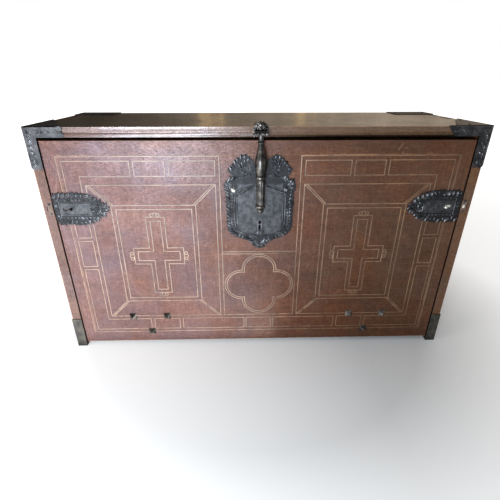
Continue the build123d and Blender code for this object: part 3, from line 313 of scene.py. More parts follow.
def walnut(
    name, tones, low, high, turn, shift, swirl=0.6, faded=None, front_edge=None, joints=(),
    edge=(0.30, 0.15, 0.075), edge_width=0.0045, gloss=0.40, wax=0.12, wax_rough=0.32,
):
    """Old waxed walnut of three tones; its grain is turned along the board, its edges are rubbed."""
    finish, surface, at = new_finish(name)
    x, y, _ = xyz(at)
    dark, middle, light = tones
    along = stretched(at, (1, 1, 1), turn, shift)
    tone, patches, pores, height = effect(WOOD_FIGURE, {"At": along, "Swirl": swirl})
    lower = tint(tone.between(0.0, 0.55), dark, middle)
    colour = tint(tone.between(0.55, 1.0), lower, light)
    colour = tint(patches * 0.55, colour, (0.70, 0.60, 0.55), "MULTIPLY")
    colour = tint(pores * 0.5, colour, tuple(c * 0.25 for c in dark))
    warmth = clouds(at, 6.5, 4, 0.62, 0.4).between(0.36, 0.64)
    warmer = tint(warmth, (0.90, 0.96, 1.12), (1.14, 0.97, 0.76))
    colour = tint(1.0, colour, warmer, "MULTIPLY")
    # Painted light and shade: the wood is made lighter towards the left and darker towards the right.
    if faded:
        painted_light_ramp = tint(x.between(0.30, -0.25), (0.60, 0.50, 0.33), faded)
        colour = tint(1.0, colour, painted_light_ramp, "MULTIPLY")
    if front_edge:
        rail = tint(tone, *front_edge)
        # Painted shade: the rail's face is darkened towards the right.
        rail = tint(x.between(-0.2, 0.25), rail, (0.62, 0.58, 0.42), "MULTIPLY")
        colour = tint(y.between(-0.1586, -0.1582, 1.0, 0.0), colour, rail)
    box = {"At": at, "Low": low, "High": high, "Width": edge_width}
    colour = tint(effect(RUBBED_EDGES, box)[0] * 0.75, colour, edge)
    marks = effect(SCRATCHES, {"At": at, "Turn": (0.3, 0.9, 0.4)})[0]
    colour = tint(marks * 0.26, colour, (0.42, 0.28, 0.20))

    rough = clouds(at, 9.0, 3, 0.6).between(0.3, 0.7, gloss - 0.05, gloss + 0.10) + pores * 0.12
    streaks, flecks = fine_grain(along)
    haze = clouds(at, 10.0, 5, 0.7, 0.6) * 1.3 - 0.15
    polish = (streaks * 0.50 + flecks * 0.34).between(0.22, 0.66) + haze
    polish = polish.between(0.6, 1.4, 0.2232, 0.6944)
    if joints:
        joint_shade = joint_painted_shade(at, joints)
        # Painted shade along the joints: near black, with less shine and wax there.
        colour = tint(joint_shade, colour, (0.006, 0.004, 0.003))
        clear_of_joint_shade = 1.0 - joint_shade
        polish = polish * clear_of_joint_shade
        wax = clear_of_joint_shade * wax
    reflected = tint(x.between(0.22, -0.20), (0.84, 0.59, 0.42), (0.98, 0.76, 0.86))
    warmer = tint(warmth, (0.90, 0.99, 1.08), (1.0, 0.94, 0.84))
    fill(surface, {
        "Base Color": colour,
        "Roughness": rough,
        "Specular IOR Level": polish,
        "Specular Tint": tint(1.0, reflected, warmer, "MULTIPLY"),
        "Coat Weight": wax,
        "Coat Roughness": wax_rough,
        "Normal": bumped(height, 0.45, 0.0011),
    })
    return finish


def iron(
    name, dark, bright, gloss=0.42, size=1.0, rust_share=0.5, metal=0.85, dense=False, calm=None
):
    """Wrought iron blackened by age. Dense work is rubbed bright where it stands proud, partly as a
    painted highlight, and has painted shade in its hollows; a plate is calm in its middle, the
    (x, z) of a centre and of a half size, and dark round it."""
    finish, surface, at = new_finish(name)
    tone, rusty, height = effect(FORGED_SKIN, {"At": at, "Size": size})
    colour = tint(tone.between(0.25, 1.0), dark, bright)
    colour = tint(rusty * rust_share, colour, (0.10, 0.045, 0.02))
    rough = tone.between(0.0, 1.0, gloss + 0.1, gloss - 0.06) + rusty * 0.3
    if dense:
        sharp = put(at.tree, "ShaderNodeNewGeometry", {}, "Pointiness")
        # Rubbed bright where it stands proud: real wear and a painted highlight.
        proud_wear_and_highlight = sharp.between(0.515, 0.62) * tone.between(0.20, 0.70)
        colour = tint(proud_wear_and_highlight, colour, tuple(min(1, c * 1.6) for c in bright))
        # Painted shade in the hollows of the relief.
        hollow_painted_shade = sharp.between(0.498, 0.44)
        colour = tint(hollow_painted_shade * 0.92, colour, (0.006, 0.006, 0.006))
        rough = rough - proud_wear_and_highlight * 0.14
    if calm:
        (middle_x, middle_z), (half_x, half_z) = calm
        x, _, z = xyz(at)
        past_x = abs(abs(x) - middle_x).between(half_x, half_x + 0.004)
        past_z = abs(z - middle_z).between(half_z, half_z + 0.004)
        colour = tint(past_x.most(past_z) * 0.85, colour, (0.008, 0.008, 0.009))
    normal = bumped(height, 0.55, 0.0007)
    fill(surface, {"Base Color": colour, "Metallic": metal, "Roughness": rough, "Normal": normal})
    return finish


def boxwood(name, pale, worn):
    """Light string inlay: pale where the wax is rubbed off, brown where dirt lies on it."""
    finish, surface, at = new_finish(name)
    x, _, z = xyz(at)
    colour = tint(clouds(at, 14.0, 5, 0.65).between(0.36, 0.56), pale, worn)
    lost = clouds(at, 55.0, 3, 0.6).between(0.54, 0.64, 0.0, 0.8)
    colour = tint(lost, colour, (0.040, 0.020, 0.012))
    fine = clouds(at, 420.0, 3, 0.6)
    colour = tint(fine.between(0.35, 0.75, 0.0, 0.45), colour, (0.16, 0.08, 0.045))
    # Painted shade: the strings are darkened towards the right.
    colour = tint(x.between(-0.15, 0.25), colour, (0.55, 0.46, 0.28), "MULTIPLY")
    hazy = x.between(-0.05, -0.20) * z.between(0.36, 0.50, 0.15, 0.75)
    hazy = hazy * clouds(at, 9.0, 3, 0.6).between(0.35, 0.62)
    colour = tint(hazy, colour, (0.085, 0.042, 0.030))
    normal = bumped(fine, 0.15, 0.0003)
    fill(surface, {"Base Color": colour, "Roughness": 0.42, "Normal": normal})
    return finish


ALONG_X, ALONG_Z = (0, 0, 0), (0, QUARTER_TURN, 0)
WALNUT = ((0.021, 0.008, 0.004), (0.066, 0.026, 0.015), (0.150, 0.068, 0.043))
INSIDE_WALNUT = ((0.085, 0.036, 0.016), (0.190, 0.090, 0.042), (0.300, 0.165, 0.085))
TOP_WALNUT = ((0.030, 0.019, 0.011), (0.075, 0.046, 0.026), (0.130, 0.085, 0.052))
# LEFT_WALNUT is lighter than RIGHT_WALNUT: painted light on the left side board, painted shade on the
# right.
LEFT_WALNUT = ((0.028, 0.012, 0.006), (0.068, 0.033, 0.017), (0.130, 0.070, 0.040))
RIGHT_WALNUT = ((0.020, 0.009, 0.005), (0.060, 0.028, 0.014), (0.120, 0.062, 0.033))
RAIL_TONES = ((0.032, 0.015, 0.008), (0.088, 0.045, 0.025))
# The left, lighter end of the painted light ramp on the front's wood.
PAINTED_SIDE_LIGHT = (1.12, 1.12, 1.14)

BLACK_IRON = iron("blackened_iron", (0.020, 0.020, 0.022), (0.060, 0.060, 0.066))
# The right corner iron's chasing: a darker copy of chased_iron, as painted shade.
SHADED_CORNER_CHASING = iron(
    "shaded_corner_chasing_iron", (0.012, 0.012, 0.013), (0.062, 0.063, 0.067), 0.28, 1.0, 0.15, dense=True
)
CHASED_IRON = iron(
    "chased_iron", (0.024, 0.025, 0.027), (0.095, 0.098, 0.106), 0.30, 1.0, 0.15, dense=True
)
LOCK_CHASED = iron(
    "lock_chased_iron", (0.015, 0.016, 0.018), (0.076, 0.079, 0.086), 0.32, 1.0, 0.12, dense=True
)
LATCH_CHASED = iron(
    "latch_chased_iron", (0.016, 0.017, 0.018), (0.074, 0.077, 0.083), 0.28, 1.0, 0.12, dense=True
)
LOCK_SHEET = iron(
    "lock_sheet", (0.018, 0.019, 0.021), (0.047, 0.049, 0.054), 0.36, 2.1, 0.12,
    calm=((0.0, 0.414), (0.052, 0.062)),
)
LATCH_SHEET = iron(
    "latch_sheet", (0.018, 0.019, 0.021), (0.050, 0.052, 0.057), 0.36, 2.1, 0.12,
    calm=((0.446, 0.419), (0.035, 0.014)),
)
# Lit and shaded copies of one sheet for the left and right corner irons: painted light and painted
# shade.
LIT_CORNER_IRON = iron(
    "lit_corner_sheet", (0.020, 0.020, 0.022), (0.060, 0.060, 0.066), 0.36, 1.0, 0.15, 0.6
)
SHADED_CORNER_IRON = iron("corner_sheet", (0.010, 0.010, 0.011), (0.040, 0.041, 0.045), 0.36, 1.0, 0.15)
PYRAMID_IRON = iron("pyramid_iron", (0.035, 0.031, 0.026), (0.240, 0.225, 0.200), 0.18)
FOOT_IRON = iron("foot_iron", (0.014, 0.013, 0.010), (0.056, 0.052, 0.041), 0.42, 1.0, 0.35, 0.5)
RUSTED_IRON = iron("rusted_iron", (0.060, 0.034, 0.022), (0.140, 0.085, 0.058), 0.5, 1.0, 0.6, 0.25)
HASP_IRON = iron("hasp_iron", (0.018, 0.017, 0.016), (0.074, 0.071, 0.066), 0.24, 1.4, dense=True)
# Rubbed iron so pale that it also paints a highlight on the left stud, the right keeper end and the
# right latch bolt.
BRIGHT_IRON = iron("rubbed_iron_painted_highlight", (0.34, 0.33, 0.30), (0.80, 0.80, 0.76), 0.20, 1.0, 0.15)
BOX_STRING = boxwood("box_string", (0.32, 0.200, 0.130), (0.175, 0.100, 0.064))
INSIDE_STRING = boxwood("inside_string", (0.62, 0.46, 0.28), (0.42, 0.27, 0.15))
DARK_LINE = boxwood("dark_line", (0.022, 0.011, 0.008), (0.012, 0.006, 0.004))
SCRATCH_WOOD = boxwood("scratched_wood", (0.30, 0.18, 0.105), (0.16, 0.085, 0.05))


# ---- mesh tools
def link(obj):
    scene.collection.objects.link(obj)
    return obj


def smooth(mesh, degrees=35):
    for face in mesh.polygons:
        face.use_smooth = True
    mesh.set_sharp_from_angle(angle=math.radians(degrees))


def place(name, mesh, finish, body, stands_for=(), degrees=35, rims=0.0):
    """A finished piece: its mesh already lies where it belongs."""
    mesh.name = name
    if finish is not None:
        mesh.materials.clear()
        mesh.materials.append(finish)
    smooth(mesh, degrees)
    obj = link(bpy.data.objects.new(name, mesh))
    if rims:
        edge = obj.modifiers.new("rounded_edges", "BEVEL")
        edge.width = rims
        edge.segments = 2
        edge.limit_method = "ANGLE"
        edge.angle_limit = math.radians(38)
    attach(obj, body)
    if stands_for:
        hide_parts(*stands_for)
    return obj


def to_mesh(bm, name="work"):
    mesh = bpy.data.meshes.new(name)
    bm.to_mesh(mesh)
    bm.free()
    return mesh


def one_mesh(meshes):
    bm = bmesh.new()
    for mesh in meshes:
        bm.from_mesh(mesh)
    return to_mesh(bm)


def finished_mesh(carrier):
    """The mesh of an object as its curve settings and modifiers make it; the object goes."""
    graph = bpy.context.evaluated_depsgraph_get()
    mesh = bpy.data.meshes.new_from_object(carrier.evaluated_get(graph), depsgraph=graph)
    carrier.modifiers.clear()
    bpy.data.objects.remove(carrier)
    return mesh


def joined(node, whole=True):
    """A node's faces sewn together; whole makes one face again of each flat one."""
    bm = bmesh.new()
    bm.from_mesh(nodes[node].data)
    bmesh.ops.remove_doubles(bm, verts=bm.verts[:], dist=2e-6)
    if whole:
        flat = math.radians(0.6)
        bmesh.ops.dissolve_limit(bm, angle_limit=flat, verts=bm.verts[:], edges=bm.edges[:])
    return bm


def reshaped(node, name, finish, rims):
    """The node's own shape with rounded edges and its finish."""
    mesh = to_mesh(joined(node, rims > 0))
    return place(name, mesh, finish, nodes[node]["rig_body"], (node,), 35 if rims else 1, rims)


def islands(bm):
    """Groups of vertices that hang together, always in the same order."""
    left = set(bm.verts)
    groups = []
    for start in bm.verts:
        if start not in left:
            continue
        left.remove(start)
        group, edge = [start], [start]
        while edge:
            for e in edge.pop().link_edges:
                for v in e.verts:
                    if v in left:
                        left.remove(v)
                        group.append(v)
                        edge.append(v)
        groups.append(group)
    return groups


def seen_from_front(points, y):
    """Points (x, z) in millimetres on the plane at depth y."""
    return [Vector((x, y, z)) * MM for x, z in points]


def polyline(runs, closed):
    """A thread of edges for a path that a tree follows."""
    bm = bmesh.new()
    for run in runs:
        verts = [bm.verts.new(p) for p in run]
        for a, b in zip(verts, verts[1:]):
            bm.edges.new((a, b))
        if closed:
            bm.edges.new((verts[-1], verts[0]))
    return link(bpy.data.objects.new("run", to_mesh(bm)))


def settled(carrier, tree, **values):
    """The mesh that a tree makes on a carrier, whose named inputs get these values."""
    work = carrier.modifiers.new("work", "NODES")
    work.node_group = tree
    sockets = {s.name: s.identifier for s in tree.interface.items_tree if s.in_out == "INPUT"}
    for label, value in values.items():
        work[sockets[label]] = value
    return finished_mesh(carrier)


def moved(mesh, x=0.0, y=0.0, z=0.0):
    mesh.transform(Matrix.Translation((x * MM, y * MM, z * MM)))
    return mesh


def lying(mesh):
    """From standing with its back on y = 0 to lying with its back on z = 0."""
    mesh.transform(Matrix(((1, 0, 0, 0), (0, 0, 1, 0), (0, -1, 0, 0), (0, 0, 0, 1))))
    return mesh


def sideways(mesh, hand):
    """From standing to a side: its first axis along Y, its face looking out at that side."""
    mesh.transform(Matrix(((0, -hand, 0, 0), (1, 0, 0, 0), (0, 0, 1, 0), (0, 0, 0, 1))))
    if hand < 0:
        mesh.flip_normals()
    return mesh


# ---- trees for what repeats
def row_of(given, thing, points, turn):
    """The given thing at each point, turned, sized a little unevenly and given its finish."""
    tree = points.tree
    inputs = {2: given["Smallest"], 3: given["Largest"], "Seed": given["Seed"]}
    size = put(tree, "FunctionNodeRandomValue", inputs, 1)
    shape = put(tree, "GeometryNodeObjectInfo", {0: given[thing]}, "Geometry")
    inputs = {"Points": points, "Instance": shape, "Rotation": turn, "Scale": size}
    row = put(tree, "GeometryNodeInstanceOnPoints", inputs)
    real = put(tree, "GeometryNodeRealizeInstances", {0: row})
    return put(tree, "GeometryNodeSetMaterial", {0: real, "Material": given["Finish"]})


def evenly_spaced(given, pitch):
    """Points a pitch apart along the given path."""
    curve = put(given[pitch].tree, "GeometryNodeMeshToCurve", {0: given["Path"]})
    inputs = {0: curve, "Length": given[pitch]}
    return put(curve.tree, "GeometryNodeResampleCurve", inputs, mode="LENGTH")


def turned_by(first, angles):
    """A rotation followed by another one, given by its angles, about its own axes."""
    second = put(first.tree, "FunctionNodeEulerToRotation", {0: angles})
    inputs = {0: first, 1: second}
    return put(first.tree, "FunctionNodeRotateRotation", inputs, rotation_space="LOCAL")


def make_leaf_border():
    """Leaves of one shape along a path in the front's plane, their length lying along it."""
    ins = {"Path": SHAPE, "Leaf": THING, "Pitch": 0.008, "Lean": 0.0, "Play": 0.35}
    ins |= {"Smallest": 0.85, "Largest": 1.15, "Seed": 1, "Finish": STUFF}
    tree, given = new_tree("leaf_border", "GeometryNodeTree", ins, ("Leaves",), SHAPE)
    points = evenly_spaced(given, "Pitch")
    inputs = {"Vector": put(tree, "GeometryNodeInputTangent")}
    aim = put(tree, "FunctionNodeAlignRotationToVector", inputs, axis="X", pivot_axis="Y")
    inputs = {2: given["Play"] * -1.0, 3: given["Play"], "Seed": given["Seed"]}
    play = put(tree, "FunctionNodeRandomValue", inputs, 1)
    tilt = play.math("SINE", play) * 0.25
    lean = put(tree, "ShaderNodeCombineXYZ", {0: tilt, 1: given["Lean"] + play})
    return close_tree(tree, Leaves=row_of(given, "Leaf", points, turned_by(aim, lean)))


def make_raised_line():
    """A forged cord of round section along a path, a little uneven in thickness."""
    ins = {"Path": SHAPE, "Radius": 0.0008, "Step": 0.002, "Unevenness": 0.25}
    ins |= {"Sides": 6, "Seed": 1, "Finish": STUFF}
    tree, given = new_tree("raised_line", "GeometryNodeTree", ins, ("Line",), SHAPE)
    inputs = {2: 1.0 - given["Unevenness"], 3: 1.0, "Seed": given["Seed"]}
    vary = put(tree, "FunctionNodeRandomValue", inputs, 1)
    inputs = {0: evenly_spaced(given, "Step"), "Radius": vary}
    thick = put(tree, "GeometryNodeSetCurveRadius", inputs)
    inputs = {"Resolution": given["Sides"], "Radius": given["Radius"]}
    ring = put(tree, "GeometryNodeCurvePrimitiveCircle", inputs)
    radius = put(tree, "GeometryNodeInputRadius")
    inputs = {0: thick, 1: ring, "Scale": radius, "Fill Caps": True}
    tube = put(tree, "GeometryNodeCurveToMesh", inputs)
    coated = put(tree, "GeometryNodeSetMaterial", {0: tube, "Material": given["Finish"]})
    return close_tree(tree, Line=coated)


def make_set_of_nails():
    """One nail at each point, standing on it along the point's own direction."""
    ins = {"Seats": SHAPE, "Nail": THING, "Smallest": 0.9, "Largest": 1.0}
    ins |= {"Spin": 6.28, "Seed": 3, "Finish": STUFF}
    tree, given = new_tree("set_of_nails", "GeometryNodeTree", ins, ("Nails",), SHAPE)
    points = put(tree, "GeometryNodeMeshToPoints", {0: given["Seats"]})
    out = put(tree, "GeometryNodeInputNamedAttribute", {0: "out"}, data_type="FLOAT_VECTOR")
    stand = put(tree, "FunctionNodeAlignRotationToVector", {"Vector": out}, axis="Z")
    inputs = {2: 0.0, 3: given["Spin"], "Seed": given["Seed"]}
    angle = put(tree, "FunctionNodeRandomValue", inputs, 1)
    about = put(tree, "ShaderNodeCombineXYZ", {2: angle})
    return close_tree(tree, Nails=row_of(given, "Nail", points, turned_by(stand, about)))


LEAF_BORDER = make_leaf_border()
RAISED_LINE = make_raised_line()
SET_OF_NAILS = make_set_of_nails()


# ---- small forged shapes
def hidden(name, bm):
    """A shape that trees repeat; it is taken away at the end."""
    obj = link(bpy.data.objects.new(name, to_mesh(bm, name)))
    smooth(obj.data)
    return obj


def leaf_shape(name, length, width, rise, curl):
    """A small acanthus lobe in the front's plane: ridge along its middle, tip curled outwards."""
    half = [(0.3, 0.62), (0.8, 0.55), (1.0, 0.0)]
    section = [*[(-s, h) for s, h in reversed(half)], (0.0, 1.0), *half]
    bm = bmesh.new()
    steps = 7
    rows = []
    for n in range(steps + 1):
        t = n / steps
        across = math.sin(math.pi * (0.10 + 0.86 * t)) ** 0.8 * width / 2
        middle = Vector((length * (t - 0.35), 0, length * (curl * t * t)))
        side = Vector((-2 * curl * t, 0, 1)).normalized()
        top = rise * math.sin(math.pi * min(1.0, 0.18 + 0.75 * t)) ** 0.7
        row = []
        for s, h in section:
            p = middle + side * (s * across)
            row.append(bm.verts.new((p.x, -top * h + 0.0002, p.z)))
        rows.append(row)
    for a, b in zip(rows, rows[1:]):
        for k in range(6):
            bm.faces.new((a[k], b[k], b[k + 1], a[k + 1]))
    bm.faces.new(rows[0])
    bm.faces.new(list(reversed(rows[-1])))
    for a, b in zip(rows, rows[1:]):
        bm.faces.new((a[0], a[6], b[6], b[0]))
    bmesh.ops.recalc_face_normals(bm, faces=bm.faces[:])
    return hidden(name, bm)


def add_tube(bm, rings):
    """Faces round rings of vertices that follow each other, with closed ends."""
    sides = len(rings[0])
    for a, b in zip(rings, rings[1:]):
        for k in range(sides):
            m = (k + 1) % sides
            bm.faces.new((a[k], a[m], b[m], b[k]))
    bm.faces.new(list(reversed(rings[0])))
    bm.faces.new(rings[-1])


def curl_shape(name, reach, thick, turns, count=22, sides=6):
    """A little scroll of tapering iron that winds in upon itself in the front's plane."""
    bm = bmesh.new()
    rings = []
    for n in range(count):
        t = n / (count - 1)
        angle = turns * WHOLE_TURN * t
        far = reach * (1 - 0.78 * t)
        half = thick * (0.55 + 0.75 * t)
        ring = []
        for k in range(sides):
            a = WHOLE_TURN * k / sides
            r = far + half * math.cos(a)
            spot = Vector((r * math.cos(angle), half * math.sin(a) * 1.2, r * math.sin(angle)))
            ring.append(bm.verts.new(spot * MM))
        rings.append(ring)
    add_tube(bm, rings)
    bmesh.ops.recalc_face_normals(bm, faces=bm.faces[:])
    return hidden(name, bm)


def turned(profile, sides=20, facets=0.0, swell=None, y=0.0):
    """A shape turned about Z from (radius, height) pairs in millimetres, its ends closed."""
    bm = bmesh.new()
    foot = Vector((0, y * MM, 0))
    rings = []
    for radius, height in profile:
        ring = []
        for n in range(sides):
            angle = WHOLE_TURN * n / sides
            reach = radius * (1 + facets * math.cos(4 * angle))
            if swell:
                reach += swell(angle, height)
            spot = Vector((reach * math.cos(angle), reach * math.sin(angle), height)) * MM
            ring.append(bm.verts.new(foot + spot))
        rings.append(ring)
    add_tube(bm, rings)
    return bm


def turned_at(profile, sides, axis, x, y, z):
    """A turned shape at a place, tipped over about the axis X to face the front, or about Y."""
    mesh = to_mesh(turned(profile, sides))
    spot = Matrix.Translation((x * MM, y * MM, z * MM))
    mesh.transform(spot @ Matrix.Rotation(QUARTER_TURN, 4, axis))
    return mesh


def seats_of(node):
    """Middle, top and direction of each nail of a node, from the nails themselves."""
    bm = joined(node)
    found = []
    for group in islands(bm):
        spots = [v.co.copy() for v in group]
        low = Vector([min(p[k] for p in spots) for k in range(3)])
        high = Vector([max(p[k] for p in spots) for k in range(3)])
        size = high - low
        axis = max(range(3), key=lambda k: size[k])
        others = [k for k in range(3) if k != axis]
        middle = (low + high) / 2
        ends = {}
        for end, level in ((-1, low[axis]), (1, high[axis])):
            near = [p for p in spots if abs(p[axis] - level) < size[axis] * 0.30]
            ends[end] = max(max(abs(p[k] - middle[k]) for k in others) for p in near)
        out = 1 if ends[1] > ends[-1] else -1
        tip = Vector(middle)
        tip[axis] = (high if out > 0 else low)[axis]
        found.append((middle, tip, Vector([out if k == axis else 0 for k in range(3)])))
    bm.free()
    return found


def flat_iron(outline, holes=(), thickness=SHEET, rim=0.35, detail=1):
    """Sheet iron cut to an outline of (x, z) points in millimetres, its back on the plane y = 0."""
    curve = bpy.data.curves.new("cut", "CURVE")
    curve.dimensions = "2D"
    curve.fill_mode = "BOTH"
    curve.extrude = (thickness / 2 - rim) * MM
    curve.bevel_depth = rim * MM
    curve.bevel_resolution = detail
    curve.offset = -rim * MM
    for loop in (outline, *holes):
        spline = curve.splines.new("POLY")
        spline.points.add(len(loop) - 1)
        for point, (x, z) in zip(spline.points, loop):
            point.co = (x * MM, z * MM, 0, 1)
        spline.use_cyclic_u = True
    mesh = finished_mesh(link(bpy.data.objects.new("cut", curve)))
    middle = -thickness / 2 * MM
    mesh.transform(Matrix(((1, 0, 0, 0), (0, 0, -1, middle), (0, 1, 0, 0), (0, 0, 0, 1))))
    bm = bmesh.new()
    bm.from_mesh(mesh)
    bmesh.ops.remove_doubles(bm, verts=bm.verts[:], dist=1e-6)
    bmesh.ops.recalc_face_normals(bm, faces=bm.faces[:])
    bm.to_mesh(mesh)
    bm.free()
    return mesh


# ---- outlines of (x, z) points
def ring_of(x, z, radius, count=20):
    angles = [WHOLE_TURN * n / count for n in range(count)]
    return [(x + radius * math.cos(a), z + radius * math.sin(a)) for a in angles]


def evenly(points, step):
    """The same closed outline with points a fixed step apart."""
    loop = points + [points[0]]
    out = []
    left = 0.0
    for (ax, az), (bx, bz) in zip(loop, loop[1:]):
        length = math.hypot(bx - ax, bz - az)
        at = left
        while at < length:
            out.append((ax + (bx - ax) * at / length, az + (bz - az) * at / length))
            at += step
        left = at - length
    return out


def rounded(points, closed=False):
    """The same outline with its corners cut twice, to a curve."""
    for _ in range(2):
        count = len(points)
        out = [] if closed else [points[0]]
        for n in range(count if closed else count - 1):
            (ax, az), (bx, bz) = points[n], points[(n + 1) % count]
            out.append((ax * 0.75 + bx * 0.25, az * 0.75 + bz * 0.25))
            out.append((ax * 0.25 + bx * 0.75, az * 0.25 + bz * 0.75))
        if not closed:
            out.append(points[-1])
        points = out
    return points


def cusped(points, pitch, depth, lean, step=0.8):
    """A closed clockwise outline cut into small leaves that lean along it."""
    spots = evenly(points, step)
    count = len(spots)
    waves = max(1, round(count * step / pitch))
    out = []
    for n, (x, z) in enumerate(spots):
        (ax, az), (bx, bz) = spots[n - 1], spots[(n + 1) % count]
        tx, tz = bx - ax, bz - az
        length = math.hypot(tx, tz) or 1.0
        tx, tz = tx / length, tz / length
        phase = (n / count * waves) % 1.0
        which = int(n / count * waves)
        uneven = 0.80 + 0.45 * abs(math.sin(which * 12.9898 + pitch * 3.1))
        lobe = math.sin(math.pi * phase) ** 0.6 * 0.6
        point = max(0.0, 1 - abs(phase - 0.72) / 0.16) * 0.55
        out_by = depth * uneven * (lobe + point - 0.25)
        along = depth * lean * math.sin(math.pi * phase)
        out.append((x - tz * out_by + tx * along, z + tx * out_by + tz * along))
    return out


def mirrored(run):
    """The other half of an outline, in the order that carries on from the first."""
    return [(-x, z) for x, z in reversed(run)]


def on_side(hand, run):
    """A run given for the right side, on this side, still clockwise."""
    return run if hand > 0 else mirrored(run)


def both(runs):
    """The runs and their mirror images."""
    return [*runs, *[mirrored(run) for run in runs]]


def drawn_in(points, share_x, foot, share_z):
    """A part of the lock plate's outline, drawn in towards its middle and lifted to a foot."""
    return [(x * share_x, foot + (z - LOCK_FOOT) * share_z) for x, z in points]


def spiral(x, z, outer, inner, turns, start, way=1, count=36):
    """A scroll that winds inwards round (x, z)."""
    out = []
    for n in range(count + 1):
        t = n / count
        angle = start + way * t * turns * WHOLE_TURN
        reach = outer + (inner - outer) * t
        out.append((x + reach * math.cos(angle), z + reach * math.sin(angle)))
    return out


def running_scroll(start, end, pitch, height):
    """A wave from start to end, as a vine runs along a border."""
    (ax, az), (bx, bz) = start, end
    length = math.hypot(bx - ax, bz - az)
    waves = max(1, round(length / pitch))
    nx, nz = -(bz - az) / length, (bx - ax) / length
    out = []
    for n in range(waves * 10 + 1):
        t = n / (waves * 10)
        side = height / 2 * math.sin(WHOLE_TURN * t * waves)
        out.append((ax + (bx - ax) * t + nx * side, az + (bz - az) * t + nz * side))
    return out


# ---- case boards
def board(node, turn, slot="walnut_case", tones=WALNUT, rims=0.0008, joints=(), **more):
    """A planed board; joints names its sides that get painted shade along them."""
    low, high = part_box(node)
    shift = (low.x * 3.7 + high.z * 2.3, low.z * 5.1 + low.y, high.y * 4.3 - low.x)
    inner, outer = sorted((abs(low.x), abs(high.x)))
    gaps = {"inner": ("x", inner, 0.0016), "outer": ("x", outer, 0.0024)}
    gaps |= {"foot": ("z", low.z, 0.0048), "head": ("z", high.z, 0.0016)}
    more["joints"] = [gaps[side] for side in joints]
    finish = walnut(f"{node}_walnut", tones, tuple(low), tuple(high), turn, shift, **more)
    return reshaped(node, f"{node}_planed", finish, rims)


board(
    "top_board", ALONG_X, tones=TOP_WALNUT, rims=0.0005, joints=("foot",), gloss=0.27,
    wax=0.5, wax_rough=0.2, edge=(0.22, 0.12, 0.07), edge_width=0.0032, front_edge=RAIL_TONES,
)
# The left side board and its rubbed front edge are lighter than the right's: painted light and
# painted shade.
for side, tones, edge in (
    ("left", LEFT_WALNUT, (0.30, 0.17, 0.10)),
    ("right", RIGHT_WALNUT, (0.16, 0.085, 0.045)),
):
    board(f"{side}_side_board", ALONG_Z, tones=tones, joints=("inner",), edge=edge)
board("bottom_board", ALONG_X)
board("back_board", ALONG_X, tones=LEFT_WALNUT, gloss=0.6, wax=0.0)

# ---- front and its inlay
FRONT_WOOD = "walnut_front"
# The front panel and its borders get painted light to the left and painted shade to the right.
board("front_panel", ALONG_X, FRONT_WOOD, rims=0.0, faded=PAINTED_SIDE_LIGHT, edge_width=0.0006, swirl=1.1)
for side, turn, joints in (
    ("top", ALONG_X, ("head", "outer")),
    ("bottom", ALONG_X, ("outer",)),
    ("left", ALONG_Z, ("outer",)),
    ("right", ALONG_Z, ("outer",)),
):
    more = {"joints": joints, "rims": 0.0005, "faded": PAINTED_SIDE_LIGHT, "edge_width": 0.003}
    board(f"front_border_{side}", turn, FRONT_WOOD, **more)


def spread_strings(by):
    """The front's strings, each made wider by moving its sides out in the front's plane."""
    bm = joined("front_stringing", False)
    ways = {}
    for vert in bm.verts:
        way = Vector((0, 0, 0))
        for face in vert.link_faces:
            if abs(face.normal.y) < 0.3:
                way += face.normal
        way.y = 0
        ways[vert] = way.normalized() * by * MM if way.length > 1e-6 else way
    for vert, way in ways.items():
        vert.co += way
    return bm


strings = to_mesh(spread_strings(0.2))
place("box_strings", strings, BOX_STRING, "fall_front", ("front_stringing",))
bm = spread_strings(1.1)
for vert in bm.verts:
    if vert.co.y < (FRONT_Y - 0.1) * MM:
        vert.co.y = (FRONT_Y - 0.12) * MM
place("string_bed", to_mesh(bm), DARK_LINE, "fall_front")


def patch(name, outlines, finish, body, y):
    """Thin flat shapes of (x, z) corners that run clockwise, lying on the plane at depth y."""
    bm = bmesh.new()
    for outline in outlines:
        face = bm.faces.new([bm.verts.new(p) for p in seen_from_front(outline, y)])
        face.normal_update()
        if face.normal.y > 0:
            face.normal_flip()
    return place(name, to_mesh(bm), finish, body)


crack = [
    (-58, 588.2), (-44, 590.2), (-30, 592.6), (-16, 593.2), (-15, 588.6), (-30, 587.6), (-44, 587.4)
]
patch("rail_crack", [crack], DARK_LINE, "case", FRONT_Y - 0.12)
marks = [
    [(317, 556), (326, 571), (328.5, 571), (319.5, 556)],
    [(324, 541), (331, 553), (333, 553), (326, 541)],
    [(333, 560), (338, 562), (338.5, 560.5), (334, 558.5)],
]
patch("front_scratches", marks, SCRATCH_WOOD, "fall_front", FRONT_Y - 0.1)

# ---- leaf, bead and nail shapes
CROCKET = leaf_shape("crocket", 0.0130, 0.0085, 0.0031, 0.50)
BACK_CROCKET = leaf_shape("back_crocket", 0.0130, 0.0085, 0.0031, -0.50)
SMALL_BACK_CROCKET = leaf_shape("small_back_crocket", 0.0090, 0.0058, 0.0023, -0.45)
SMALL_CROCKET = leaf_shape("small_crocket", 0.0090, 0.0058, 0.0023, 0.45)
BEAD_LEAF = leaf_shape("bead_leaf", 0.0050, 0.0042, 0.0014, 0.1)
CURL = curl_shape("curl", 3.3, 0.75, 1.3)
NAIL_PROFILE = [
    (0.3, -12.0), (1.1, -11.5), (1.15, -0.2), (3.0, 0.0),
    (2.9, 0.5), (2.2, 1.2), (1.2, 1.55), (0.2, 1.6),
]
NAIL = hidden("forged_nail", turned(NAIL_PROFILE, 12, 0.05))
NAIL_HEAD = 0.0016  # from a nail's seat to its tip, in metres


